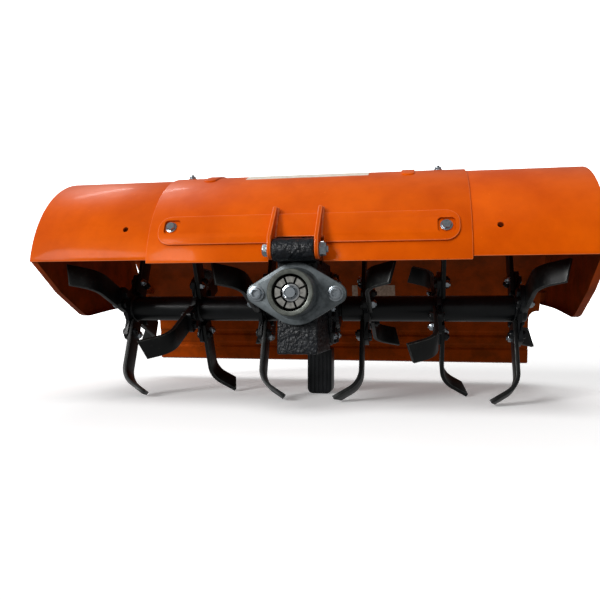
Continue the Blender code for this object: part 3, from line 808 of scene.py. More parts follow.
@dataclass(frozen=True)
class Hood:
    """Middle panel, two wings, stiffening bar, ears and the small parts on them."""

    layout: Layout
    sheet: float = 0.003
    wing_radius: float = 0.208
    panel_radius: float = 0.2113
    bar_radius: float = 0.2146
    rear_angle: float = 30.0
    lip_angle: float = 172.0
    notch_half: float = 0.0473
    notch_top: float = 0.1185
    bar_low_angle: float = 165.2
    bar_height: float = 0.057
    bar_corner: float = 0.024
    bar_thickness: float = 0.004
    facet: float = 0.0065
    edge: float = 0.0009
    bar_edge: float = 0.0013
    ear_edge: float = 0.0016
    hole_radius: float = 0.0052
    pocket: tuple = (0.0145, 0.0135)  # half across, half along
    pocket_corner: float = 0.006
    pocket_shift: float = 0.003
    weld_angle: float = 163.0
    weld_sweep: float = 16.0
    weld_radius: float = 0.0026
    weld_bumps: float = 0.0008
    lug_bolt_radius: float = 0.0064
    rib_half: float = 0.0125
    rib_length: float = 0.16
    rib_height: float = 0.0028
    rib_corner: float = 0.0115
    rib_edge: float = 0.0026
    rib_angle: float = 118.0
    strip: tuple = (-0.1208, 0.1144, 0.048)  # left, right, length
    strip_angle: float = 115.5
    strip_thickness: float = 0.0004
    strip_corner: float = 0.002
    wing_holes: tuple = ((-0.3192, 155.5), (0.3358, 157.4))
    bar_bolts: tuple = ((-0.2298, 155.6), (0.2498, 157.6))
    top_bolts: tuple = ((-0.2424, 104.0), (0.2426, 104.0))
    top_ribs: tuple = (-0.192, 0.187)

    def arc(self, radius: float, degrees: float) -> float:
        """Length of an arc at a radius."""
        return radius * math.radians(degrees)

    def notch(self, radius: float, start: float) -> float:
        """Depth of the notch, along a sheet of this radius that starts at this angle."""
        rise = (self.layout.rotor.z + self.notch_top - self.layout.centre.z) / radius
        return self.arc(radius, start - 180 + math.degrees(math.asin(rise)))

    def build(self) -> None:
        """Build every piece of the hood."""
        self.wings()
        self.panel()
        self.bar()
        self.ears()
        self.small_parts()

    def wings(self) -> None:
        """Two rolled wings, each with its adjusting hole."""
        length = self.arc(self.wing_radius, self.lip_angle - self.rear_angle)
        for side, (across, angle) in zip(("left", "right"), self.wing_holes):
            node = "hood_wing_" + side
            low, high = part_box(node)
            bm = plate(rectangle(low.x, high.x, 0, length), self.sheet)
            # The bevels take the lighter enamel: a painted highlight along the sheet's edges.
            soften(bm, self.edge, 2, material=1)
            along = self.arc(self.wing_radius, self.lip_angle - angle)
            place = Vector((across, along, 0))
            bm = carve(bm, rod(place - Z_AXIS * 0.01, place + Z_AXIS * 0.01, self.hole_radius, 24))
            slice_along(bm, 0, length, self.facet)
            self.layout.roll(bm, self.wing_radius, self.lip_angle)
            piece(
                bm, "wing_sheet_" + side, Body.FRAME, [ENAMEL, ENAMEL_EDGE_HIGHLIGHT],
                [node]
            )

    def panel(self) -> None:
        """The middle panel, notched round the gearbox lug."""
        low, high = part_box("hood_centre")
        lip = self.lip_angle + math.degrees(0.0065 / self.panel_radius)
        length = self.arc(self.panel_radius, lip - self.rear_angle)
        notch = self.notch(self.panel_radius, lip)
        corners = notched(low.x, high.x, self.notch_half, notch, length)
        bm = plate(corners, self.sheet, (0.002, 0.002, 0.008, 0.008, 0.002, 0.002, 0, 0))
        # The bevels take the lighter enamel: a painted highlight along the sheet's edges.
        soften(bm, self.edge, 2, material=1)
        slice_along(bm, 0, length, self.facet)
        self.layout.roll(bm, self.panel_radius, lip)
        piece(
            bm, "middle_panel", Body.FRAME, [ENAMEL, ENAMEL_EDGE_HIGHLIGHT], ["hood_centre"]
        )

    def bar(self) -> None:
        """The stiffening bar with a pocket at each end for an adjusting bolt."""
        low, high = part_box("stiffener_bar")
        notch = self.notch(self.bar_radius, self.bar_low_angle)
        curve = self.bar_corner
        corners = notched(low.x, high.x, self.notch_half, notch, self.bar_height)
        bm = plate(corners, self.bar_thickness, (curve, 0, 0, 0, 0, curve, curve, curve), 10)
        # The bevels take the lighter enamel: a painted highlight along the bar's edges.
        soften(bm, self.bar_edge, 3, material=1)
        for across, angle in self.bar_bolts:
            middle = self.arc(self.bar_radius, self.bar_low_angle - angle) - 0.001
            wide, deep = self.pocket
            if across < 0:
                across += self.pocket_shift
            sides = rectangle(across - wide, across + wide, middle - deep, middle + deep)
            pocket = plate(sides, 0.02, self.pocket_corner)
            bmesh.ops.translate(pocket, verts=pocket.verts, vec=(0, 0, -0.01))
            bm = carve(bm, pocket)
        slice_along(bm, 0, self.bar_height, self.facet)
        self.layout.roll(bm, self.bar_radius, self.bar_low_angle)
        piece(
            bm, "stiffening_bar", Body.FRAME, [ENAMEL, ENAMEL_EDGE_HIGHLIGHT],
            ["stiffener_bar"]
        )

    def ears(self) -> None:
        """Two ears with rounded edges, welded to the bar, and the bolt through them."""
        for side, _ in SIDES:
            node = "hood_ear_" + side
            low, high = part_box(node)
            bm = self.copy_of(node)
            # The bevels take the lighter enamel: a painted highlight along the ear's edges.
            soften(bm, self.ear_edge, 3, 50, material=1)
            piece(bm, "ear_" + side, Body.FRAME, [ENAMEL, ENAMEL_EDGE_HIGHLIGHT], [node])
            beads = bmesh.new()
            reach = self.bar_radius + self.bar_thickness + 0.0008
            for x in (low.x, high.x):
                start, out = self.layout.on_hood(x, self.weld_angle, reach)
                ring = bmesh.new()
                lay = Matrix.Translation(start) @ facing(Vector((0, -out.z, out.y)))
                bmesh.ops.create_circle(
                    ring, cap_ends=True, radius=self.weld_radius, segments=10, matrix=lay
                )
                bmesh.ops.spin(
                    ring, geom=ring.faces[:], cent=self.layout.centre, axis=-X_AXIS,
                    angle=math.radians(self.weld_sweep), steps=24
                )
                outwards(ring)
                for vert in ring.verts:
                    vert.co.x += self.weld_bumps * noise.noise(vert.co * 260)
                merge(beads, ring)
            piece(beads, "ear_weld_" + side, Body.FRAME, [WELD])
        low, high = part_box("ear_bolt")
        axis = (low + high) / 2
        bolt = bmesh.new()
        start = Vector((low.x + 0.008, axis.y, axis.z))
        merge(bolt, rod(start, Vector((high.x - 0.014, axis.y, axis.z)), self.lug_bolt_radius, 24))
        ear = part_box("hood_ear_right")[1].x + 0.0004
        head = Fastener(Head.HEXAGON, 0.021, 0.0078, washer=0.0125, washer_height=0.0016)
        nut = Fastener(
            Head.NUT, 0.021, 0.0095, washer=0.0125, washer_height=0.0016, stud=0.0035,
            stud_radius=0.006
        )
        head.add(bolt, Vector((-ear, axis.y, axis.z)), -X_AXIS, 12)
        nut.add(bolt, Vector((ear, axis.y, axis.z)), X_AXIS, 20)
        piece(bolt, "lug_bolt", Body.FRAME, [ZINC], ["ear_bolt"])

    @staticmethod
    def copy_of(node: str) -> Mesh:
        """A merged copy of a frame node's mesh, flat faces joined, ready to be finished."""
        bm = bmesh.new()
        bm.from_mesh(FRAME["nodes"][node].data)
        bmesh.ops.remove_doubles(bm, verts=bm.verts, dist=1e-5)
        bmesh.ops.dissolve_limit(bm, angle_limit=math.radians(1), verts=bm.verts, edges=bm.edges)
        for face in bm.faces:
            face.material_index = 0
        return bm

    def small_parts(self) -> None:
        """Adjusting bolts, top bolts, pressed ribs and the blank strip on the top."""
        bolts = bmesh.new()
        outside = self.panel_radius + self.sheet
        big = Fastener(Head.HEXAGON, 0.0145, 0.0052, washer=0.0103, washer_height=0.0016)
        for (across, angle), turn in zip(self.bar_bolts, (10, 35)):
            place, out = self.layout.on_hood(across, angle, outside)
            big.add(bolts, place, out, turn)
        small = Fastener(
            Head.NUT, 0.0115, 0.0042, washer=0.0075, washer_height=0.0012, stud=0.0028,
            stud_radius=0.003
        )
        for across, angle in self.top_bolts:
            place, out = self.layout.on_hood(across, angle, outside)
            small.add(bolts, place, out, 15)
        piece(bolts, "hood_bolts", Body.FRAME, [ZINC])
        ribs = bmesh.new()
        for across in self.top_ribs:
            sides = rectangle(-self.rib_half, self.rib_half, 0, self.rib_length)
            rib = plate(sides, self.rib_height, self.rib_corner, 8)
            upper = [e for e in edges_sharper(rib, 50) if all(v.co.z > 0.002 for v in e.verts)]
            bevel(rib, upper, self.rib_edge, 4)
            bmesh.ops.translate(rib, verts=rib.verts, vec=(across, 0, 0))
            slice_along(rib, 0, self.rib_length, self.facet)
            merge(ribs, self.layout.roll(rib, outside - 0.0002, self.rib_angle))
        piece(ribs, "pressed_ribs", Body.FRAME, [ENAMEL])
        left, right, tall = self.strip
        strip = plate(rectangle(left, right, 0, tall), self.strip_thickness, self.strip_corner)
        slice_along(strip, 0, tall, self.facet)
        self.layout.roll(strip, outside, self.strip_angle)
        piece(strip, "label_strip", Body.FRAME, [LABEL])


@dataclass(frozen=True)
class SidePlates:
    """Dished ends of the hood: a flat sheet with a turned rim all round."""

    layout: Layout
    rim: float = 0.0138
    sheet: float = 0.003
    arc_radius: float = 0.2076
    lip_angle: float = 172.0
    rear_angle: float = 30.0
    lower: tuple = (
        (0.2005, 0.1165), (0.268, 0.014), (0.111, 0.002), (-0.032, -0.018), (-0.130, 0.028)
    )
    corner_radii: tuple = (0.03, 0.012, 0.05, 0.016, 0.0)
    stop: tuple = (0.24558, 0.26358, 0.040, 0.052)  # front, back, low, high
    stop_reach: float = 0.036
    bend_radius: float = 0.0026
    edge: float = 0.001

    def build(self) -> None:
        """Build the left and the right plate."""
        for side, sign in SIDES:
            outside = max(abs(c.x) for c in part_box("side_plate_" + side))
            bm = self.outline(sign * outside)
            pull(bm, bm.faces[:], (-sign * self.rim, 0, 0))
            outwards(bm)
            inner = self.at_reach(bm.faces, outside - self.rim)
            bmesh.ops.inset_region(bm, faces=inner, thickness=self.sheet, use_even_offset=True)
            verts = list({v for f in inner for v in f.verts})
            bmesh.ops.translate(bm, verts=verts, vec=(sign * (self.rim - self.sheet), 0, 0))
            sharp = edges_sharper(bm, 40)
            outer = self.at_reach(sharp, outside)
            floor = self.at_reach(sharp, outside - self.sheet)
            bevel(bm, outer + floor, self.bend_radius, 3)
            soften(bm, self.edge, 2, 60)
            near, back, low, high = self.stop
            y, z = self.layout.rotor.y, self.layout.rotor.z
            stop = plate(rectangle(y + near, y + back, z + low, z + high), 1)
            for vert in stop.verts:
                inset = self.stop_reach if vert.co.z > 0.5 else self.sheet / 2
                vert.co = Vector((sign * (outside - inset), vert.co.x, vert.co.y))
            soften(stop, 0.0012, 2)
            merge(bm, stop)
            # Inward faces take the darker enamel: painted shade inside the hood.
            for face in bm.faces:
                middle = face.calc_center_median()
                inward = -sign * face.normal.x > 0.3 or abs(middle.x) < outside - 0.004
                face.material_index = int(inward)
            piece(
                bm, "dished_end_" + side, Body.FRAME, [ENAMEL, ENAMEL_PAINTED_SHADE],
                ["side_plate_" + side]
            )

    @staticmethod
    def at_reach(elements: Iterable, reach: float) -> list:
        """The faces or edges that lie whole at one distance from the middle plane."""
        return [e for e in elements if all(abs(abs(v.co.x) - reach) < 1e-5 for v in e.verts)]

    def outline(self, x: float) -> Mesh:
        """The plate's outline as one face, its arc spun and its lower corners rounded."""
        bm = bmesh.new()
        start, _ = self.layout.on_hood(x, self.lip_angle, self.arc_radius)
        first = bm.verts.new(start)
        spun = bmesh.ops.spin(
            bm, geom=[first], cent=self.layout.centre, axis=-X_AXIS,
            angle=math.radians(self.lip_angle - self.rear_angle), steps=48
        )
        last = spun["geom_last"][0]
        corners = [bm.verts.new(self.layout.at(u, w, x)) for u, w in self.lower]
        for pair in zip([last, *corners], [*corners, first]):
            bm.edges.new(pair)
        bmesh.ops.contextual_create(bm, geom=bm.edges[:])
        for vert, radius in zip(corners, self.corner_radii):
            if radius:
                bevel(bm, [vert], radius, 5, "VERTICES")
        return bm


@dataclass(frozen=True)
class Flap:
    """Rear flap: a bent sheet with pressed beads, its knuckles and two blank labels."""

    layout: Layout
    sheet: float = 0.003
    knee: tuple = (0.233, 0.099)  # behind and above the rotor's axis, as the next two
    ridge: tuple = (0.318, -0.022)
    foot: tuple = (0.334, -0.125)
    hem: float = 0.012
    bead: float = 0.0028
    bead_places: tuple = (0.26, 0.56)
    bead_line: tuple = ((0.0, 0), (0.05, 1), (0.11, 1), (0.16, 0))
    bend_radius: float = 0.011
    seat: tuple = (0, -0.0012, -0.0008)
    corner: tuple = (0.022, -0.002, 0.016)  # width, top, radius
    knuckle_radius: float = 0.0085
    knuckle_bore: float = 0.0046
    knuckle_length: float = 0.030
    hinge_places: tuple = (-0.360, 0.0, 0.360)
    labels: tuple = ((0.1300, 0.0478), (0.0568, 0.0135))  # middle, width
    label_rows: tuple = (0.046, 0.091)
    label_thickness: float = 0.0005
    tongue: tuple = (0.93, 0.012)  # share of the knuckle's length, depth

    def build(self) -> None:
        """Build the sheet, its knuckles and labels."""
        self.skin()
        self.knuckles()
        self.label_plates()

    def skin(self) -> None:
        """The sheet, drawn as a bent line, spread across, thickened and softened."""
        low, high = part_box("rear_flap")
        knee, ridge, foot = (self.layout.at(*p) for p in (self.knee, self.ridge, self.foot))
        lead = (knee - self.layout.hinge).normalized()
        run = foot - ridge
        out = Vector((0, -run.z, run.y)).normalized() * -self.bead
        line = [self.layout.hinge + lead * (self.knuckle_radius + 0.0016), knee, ridge]
        for share in self.bead_places:
            for step, height in self.bead_line:
                line.append(ridge + run * (share + step) - out * height)
        line += [foot, foot + Vector((0, self.hem, -self.hem / 4))]
        bm = bmesh.new()
        verts = [bm.verts.new(p + X_AXIS * low.x) for p in line]
        edges = [bm.edges.new(pair) for pair in zip(verts, verts[1:])]
        grown = bmesh.ops.extrude_edge_only(bm, edges=edges)["geom"]
        bmesh.ops.translate(bm, verts=picked(grown, Vert), vec=X_AXIS * (high.x - low.x))
        bends = [e for e in bm.edges if len(e.link_faces) == 2]
        sharp = [e for e in bends if min(abs(e.verts[0].co.z - p.z) for p in (knee, ridge)) < TINY]
        bevel(bm, sharp, self.bend_radius, 6)
        outwards(bm)
        if sum(f.normal.y for f in bm.faces) > 0:
            bmesh.ops.reverse_faces(bm, faces=bm.faces)
        bmesh.ops.translate(bm, verts=bm.verts, vec=Vector(self.seat))
        bmesh.ops.solidify(bm, geom=bm.faces[:], thickness=self.sheet)
        outwards(bm)
        bm = self.trimmed(bm, low.x, high.x)
        # The face towards the rotor takes the darker enamel: painted shade inside the hood.
        for face in bm.faces:
            face.material_index = int(face.normal.y < 0)
        piece(
            bm, "flap_sheet", Body.FLAP, [ENAMEL, ENAMEL_PAINTED_SHADE], ["rear_flap"],
            28
        )

    def trimmed(self, bm: Mesh, left: float, right: float) -> Mesh:
        """Cut away the two lower corners, so that the flap is narrower below its ridge.

        Args:
            bm: The flap's sheet.
            left: Its left edge.
            right: Its right edge.

        Returns:
            The sheet without the corners.
        """
        width, top, radius = self.corner
        top += self.layout.rotor.z
        for edge, sign in ((left, LEFT), (right, RIGHT)):
            inner, outer = edge - sign * width, edge + sign * width
            cutter = plate(
                ((inner, 0), (inner, top), (outer, top), (outer, 0)), 0.5, (0, radius, 0, 0)
            )
            for vert in cutter.verts:
                vert.co = Vector((vert.co.x, vert.co.z, vert.co.y))
            outwards(cutter)
            bm = carve(bm, cutter)
        return bm

    def knuckles(self) -> None:
        """Rolled knuckles on the hinge rod, each with its tongue."""
        bm = bmesh.new()
        hinge = self.layout.hinge
        lead = (self.layout.at(*self.knee) - hinge).normalized()
        side = Vector((0, -lead.z, lead.y))
        for place in self.hinge_places:
            half = self.knuckle_length / 2
            outer = self.knuckle_radius
            profile = sleeve(-half, half, self.knuckle_bore, outer, 0.0008)
            merge(bm, turned(profile, hinge + X_AXIS * place, X_AXIS, 28))
            start = hinge + lead * (outer - 0.001) - side * self.sheet / 2
            lay = Matrix.Translation(start + X_AXIS * place + side * self.sheet / 2 + lead * 0.005)
            frame = Matrix((X_AXIS, lead, side)).transposed().to_4x4()
            wide, deep = self.tongue
            size = Matrix.Diagonal((wide * self.knuckle_length, deep, self.sheet - 0.0004, 1))
            tongue = block(lay @ frame @ size)
            soften(tongue, 0.0006, 1)
            merge(bm, tongue)
        piece(bm, "flap_knuckles", Body.FLAP, [ENAMEL])

    def label_plates(self) -> None:
        """Two blank labels on the front of the flap."""
        knee, ridge = self.layout.at(*self.knee), self.layout.at(*self.ridge)
        down = (ridge - knee).normalized()
        out = X_AXIS.cross(down).normalized()
        if out.y > 0:
            out = -out
        bm = bmesh.new()
        for across, width in self.labels:
            low, high = self.label_rows
            tag = plate(
                rectangle(-width / 2, width / 2, low, high), self.label_thickness, 0.002, 3
            )
            base = knee + out * (self.sheet / 2 + 0.0001) + X_AXIS * across
            turn = Matrix((X_AXIS, down, out)).transposed().to_4x4()
            merge(bm, tag, Matrix.Translation(base) @ turn)
        outwards(bm)
        piece(bm, "flap_labels", Body.FLAP, [DULL_LABEL])


@dataclass(frozen=True)
class Gearbox:
    """Cast case with its lug, ribbed side covers, coupling flange, clutch and foot."""

    layout: Layout
    width: float = 0.072
    casing_radius: float = 0.075
    skin: float = 0.0004
    body_back: float = -0.030
    body_top: float = 0.0758
    raised: tuple = (-0.150, 0.05)  # front, low
    neck: tuple = (-0.176, -0.0185, 0.0192)  # back, then under and over the lug's middle
    lug_bore: float = 0.0072
    voxel: float = 0.0022
    grit_depth: float = 0.0011
    grit: float = 0.006
    shaft_bore: float = 0.0168
    cover_radius: float = 0.0715
    cover_rim: float = 0.0055
    cover_ribs: int = 12
    cover_nuts: int = 6
    nut_circle: float = 0.062
    bottom: float = -0.0825
    top: float = 0.085
    lug: tuple = (-0.2355, 0.095)  # behind and above the rotor's axis
    lug_radius: float = 0.0195
    plate_front: float = -0.219
    plate_thickness: float = 0.014
    plate_middle: float = 0.0535
    eye_reach: float = 0.068
    eye_radius: float = 0.018
    boss_radius: float = 0.0385
    boss_bore: float = 0.0305
    boss_front: float = -0.271
    clutch_radius: float = 0.0265
    clutch_hollow: float = 0.0165
    teeth: int = 8
    slot_width: float = 0.0034
    foot_corner: float = 0.012
    foot_top_corner: float = 0.004
    foot_edge: float = 0.006
    foot_grooves: int = 5
    groove_radius: float = 0.0019

    def build(self) -> None:
        """Build every piece of the gearbox."""
        self.case()
        self.covers()
        self.coupling()
        self.clutch()
        self.foot()

    def block(self, u: tuple[float, float], w: tuple[float, float], half: float) -> Mesh:
        """A plain block between two rearward and two upward limits."""
        middle = self.layout.at(sum(u) / 2, sum(w) / 2)
        size = (2 * half, u[1] - u[0], w[1] - w[0], 1)
        return block(Matrix.Translation(middle) @ Matrix.Diagonal(size))

    def case(self) -> None:
        """The case: body, lug and round casing welded into one rough casting."""
        half = self.width / 2 - self.skin
        front = self.plate_front + self.plate_thickness + 0.0006
        body = self.block((front, self.body_back), (self.bottom + self.skin, self.body_top), half)
        start, low = self.raised
        raised = self.block((start, self.body_back), (low, self.top - self.skin), half)
        lug = self.layout.at(*self.lug)
        knob = rod(lug - X_AXIS * half, lug + X_AXIS * half, self.lug_radius, 32)
        end, under, over = self.neck
        neck = self.block((self.lug[0], end), (self.lug[1] + under, self.lug[1] + over), half)
        drum = rod(self.layout.at(x=-half), self.layout.at(x=half), self.casing_radius, 48)
        for part in (raised, drum, neck, knob):
            body = carve(body, part, "UNION")
        body = carve(body, rod(self.layout.at(x=-0.1), self.layout.at(x=0.1), self.shaft_bore, 32))
        body = carve(body, rod(lug - X_AXIS, lug + X_AXIS, self.lug_bore, 20))
        bm = cast(body, self.voxel, self.grit_depth, self.grit)
        piece(bm, "cast_case", Body.FRAME, [SAND_CAST], ["gearbox_case"], 70)

    def covers(self) -> None:
        """Bearing covers: stepped discs with radial ribs and a ring of zinc nuts."""
        bolts = bmesh.new()
        nut = Fastener(
            Head.NUT, 0.013, 0.0048, washer=0.0085, washer_height=0.0012, stud=0.002,
            stud_radius=0.0035
        )
        for side, sign in SIDES:
            node = "gearbox_cover_" + side
            low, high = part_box(node)
            start, end = (high.x, low.x) if sign < 0 else (low.x, high.x)
            deep = abs(end - start)
            bore, rim, step_height = self.shaft_bore, self.cover_radius, self.cover_rim
            profile = [
                (0, bore), (0, rim), (step_height - 0.001, rim), (step_height, rim - 0.001),
                (step_height, 0.044), (0.0075, 0.042), (deep - 0.001, 0.038), (deep, 0.037),
                (deep, bore), (0, bore)
            ]
            bm = turned(profile, self.layout.at(x=start), X_AXIS * sign, 56)
            for step in range(self.cover_ribs):
                turn = math.tau * (step + 0.5) / self.cover_ribs
                size = Matrix.Diagonal((0.0105, 0.006, 0.0335, 1))
                seat = self.layout.at(x=start + sign * 0.0048)
                lay = Matrix.Translation(seat) @ Matrix.Rotation(turn, 4, "X")
                rib = block(lay @ Matrix.Translation((0, 0, 0.0545)) @ size)
                soften(rib, 0.0015, 2)
                merge(bm, rib)
            outwards(bm)
            piece(bm, "bearing_cover_" + side, Body.FRAME, [SAND_CAST], [node])
            for step in range(self.cover_nuts):
                turn = math.tau * step / self.cover_nuts
                u, w = self.nut_circle * math.cos(turn), self.nut_circle * math.sin(turn)
                spot = self.layout.at(u, w, start + sign * self.cover_rim)
                nut.add(bolts, spot, X_AXIS * sign, 10 * step)
        piece(bolts, "cover_nuts", Body.FRAME, [ZINC])

    def coupling(self) -> None:
        """The two-eyed flange: the hull of three discs, its boss turned and bored."""
        centre = self.layout.clutch
        front = self.layout.rotor.y + self.plate_front
        bm = bmesh.new()
        discs = (
            (0.0, self.plate_middle), (-self.eye_reach, self.eye_radius),
            (self.eye_reach, self.eye_radius)
        )
        for across, radius in discs:
            start = Vector((across, front, centre.z))
            merge(bm, rod(start, start + Y_AXIS * self.plate_thickness, radius, 64))
        hull = bmesh.ops.convex_hull(bm, input=bm.verts)
        inside = picked(hull["geom_interior"] + hull["geom_unused"], Vert)
        bmesh.ops.delete(bm, geom=list(set(inside)), context="VERTS")
        bmesh.ops.delete(bm, geom=[f for f in bm.faces if len(f.verts) > 4], context="FACES_ONLY")
        bmesh.ops.dissolve_limit(bm, angle_limit=math.radians(1), verts=bm.verts, edges=bm.edges)
        outwards(bm)
        bevel(bm, edges_sharper(bm, 60), 0.0018, 3)
        length = self.plate_front - self.boss_front
        out, edge = self.boss_radius, 0.0016
        root, bore = 0.006, self.boss_bore - 0.002
        profile = [
            (root, bore), (root, out + 0.006), (0.0, out + 0.0058), (-0.0022, out + 0.0028),
            (-root, out + 0.0008), (-0.012, out), (edge - length, out), (-length, out - edge),
            (-length, bore + 0.0028), (0.0008 - length, bore), (root, bore)
        ]
        base = Vector((centre.x, front, centre.z))
        bm = carve(bm, turned(profile, base, Y_AXIS, 72), "UNION")
        bm = carve(bm, rod(base - Y_AXIS * 0.1, base + Y_AXIS * 0.1, self.boss_bore, 72))
        for face in bm.faces:
            middle = face.calc_center_median()
            reach = math.hypot(middle.x, middle.z - centre.z)
            if middle.y < front - length + 0.004 or (
                reach < self.boss_bore + 0.0006 and middle.y < front
            ):
                face.material_index = 1
        machined = TurnedFinish(
            "turned_cast_iron_face", "6A6D67", "4C504B", 0.36, metallic=0.6, patch=10, grain=1.0,
            grain_depth=0.02, centre=tuple(centre), fleck_and_painted_glint="6C6D62", fleck_and_painted_glint_size=7
        )
        piece(
            bm, "coupling_casting", Body.FRAME, [GREY_IRON, machined],
            ["coupling_flange"]
        )
        heads = bmesh.new()
        socket = Fastener(Head.SOCKET, 0.0205, 0.0085, washer=0.0135, washer_height=0.0016)
        for sign in (LEFT, RIGHT):
            start = Vector((sign * self.eye_reach, front, centre.z))
            socket.add(heads, start, -Y_AXIS, 20)
            merge(heads, rod(start, start + Y_AXIS * (self.plate_thickness + 0.006), 0.0068, 20))
        piece(heads, "coupling_bolts", Body.FRAME, [ZINC])

    def clutch(self) -> None:
        """The dog clutch: a hollow ring cut into teeth, with its washer and bolt."""
        low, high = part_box("input_clutch")
        base = Vector((self.layout.clutch.x, low.y, self.layout.clutch.z))
        tooth, deep, hub = 0.011, 0.034, 0.0125
        rim, end, edge = self.clutch_radius, high.y - low.y, 0.001
        profile = [
            (tooth, 0), (tooth, self.clutch_hollow), (0, self.clutch_hollow), (0, rim - edge),
            (edge, rim), (deep, rim), (deep, hub), (end, hub), (end, 0)
        ]
        bm = turned(profile, base, Y_AXIS, 64)
        for step in range(self.teeth // 2):
            turn = math.radians(360 / self.teeth * (step + 0.5))
            seat = base + Y_AXIS * (tooth / 2 - 0.0005)
            lay = Matrix.Translation(seat) @ Matrix.Rotation(turn, 4, "Y")
            slot = block(lay @ Matrix.Diagonal((0.07, tooth + 0.001, self.slot_width, 1)))
            bm = carve(bm, slot)
        # Every face but the front and the rim is painted near black as shade in the hollow and
        # slots.
        for face in bm.faces:
            middle = face.calc_center_median()
            reach = math.hypot(middle.x - base.x, middle.z - base.z)
            front = face.normal.y < -0.5 and middle.y < base.y + 0.003
            face.material_index = 0 if front or reach > rim - edge else 1
        washer = [
            (0.0105, 0.0), (0.0105, 0.0148), (0.0075, 0.0152), (0.0048, 0.0146), (0.0042, 0.0118),
            (0.0052, 0.0102), (0.0052, 0.0001), (0.0052, 0.0)
        ]
        merge(bm, turned(washer, base, Y_AXIS, 48), material=2)
        Fastener(Head.HEXAGON, 0.0172, 0.0085).add(bm, base + Y_AXIS * 0.0072, -Y_AXIS, 12, 3)
        piece(
            bm, "dog_clutch", Body.INPUT,
            [CLUTCH_STEEL, CLUTCH_PAINTED_SHADE, POLISHED, ZINC], ["input_clutch"]
        )

    def foot(self) -> None:
        """The ribbed foot with its rounded sole."""
        low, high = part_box("depth_foot")
        half, corner, upper = (high.x - low.x) / 2, self.foot_corner, self.foot_top_corner
        radii = (corner, corner, upper, upper)
        bm = plate(rectangle(-half, half, low.z, high.z), 1, radii, 6)
        for vert in bm.verts:
            vert.co = Vector((vert.co.x, low.y + (high.y - low.y) * vert.co.z, vert.co.y))
        soften(bm, self.foot_edge, 4, 50)
        for face_y in (low.y, high.y):
            for i in range(self.foot_grooves):
                x = -half + (i + 1) * 2 * half / (self.foot_grooves + 1)
                start, end = Vector((x, face_y, low.z - 0.01)), Vector((x, face_y, high.z - 0.012))
                bm = carve(bm, rod(start, end, self.groove_radius, 10))
        piece(bm, "ribbed_foot", Body.FRAME, [SATIN_BLACK], ["depth_foot"])


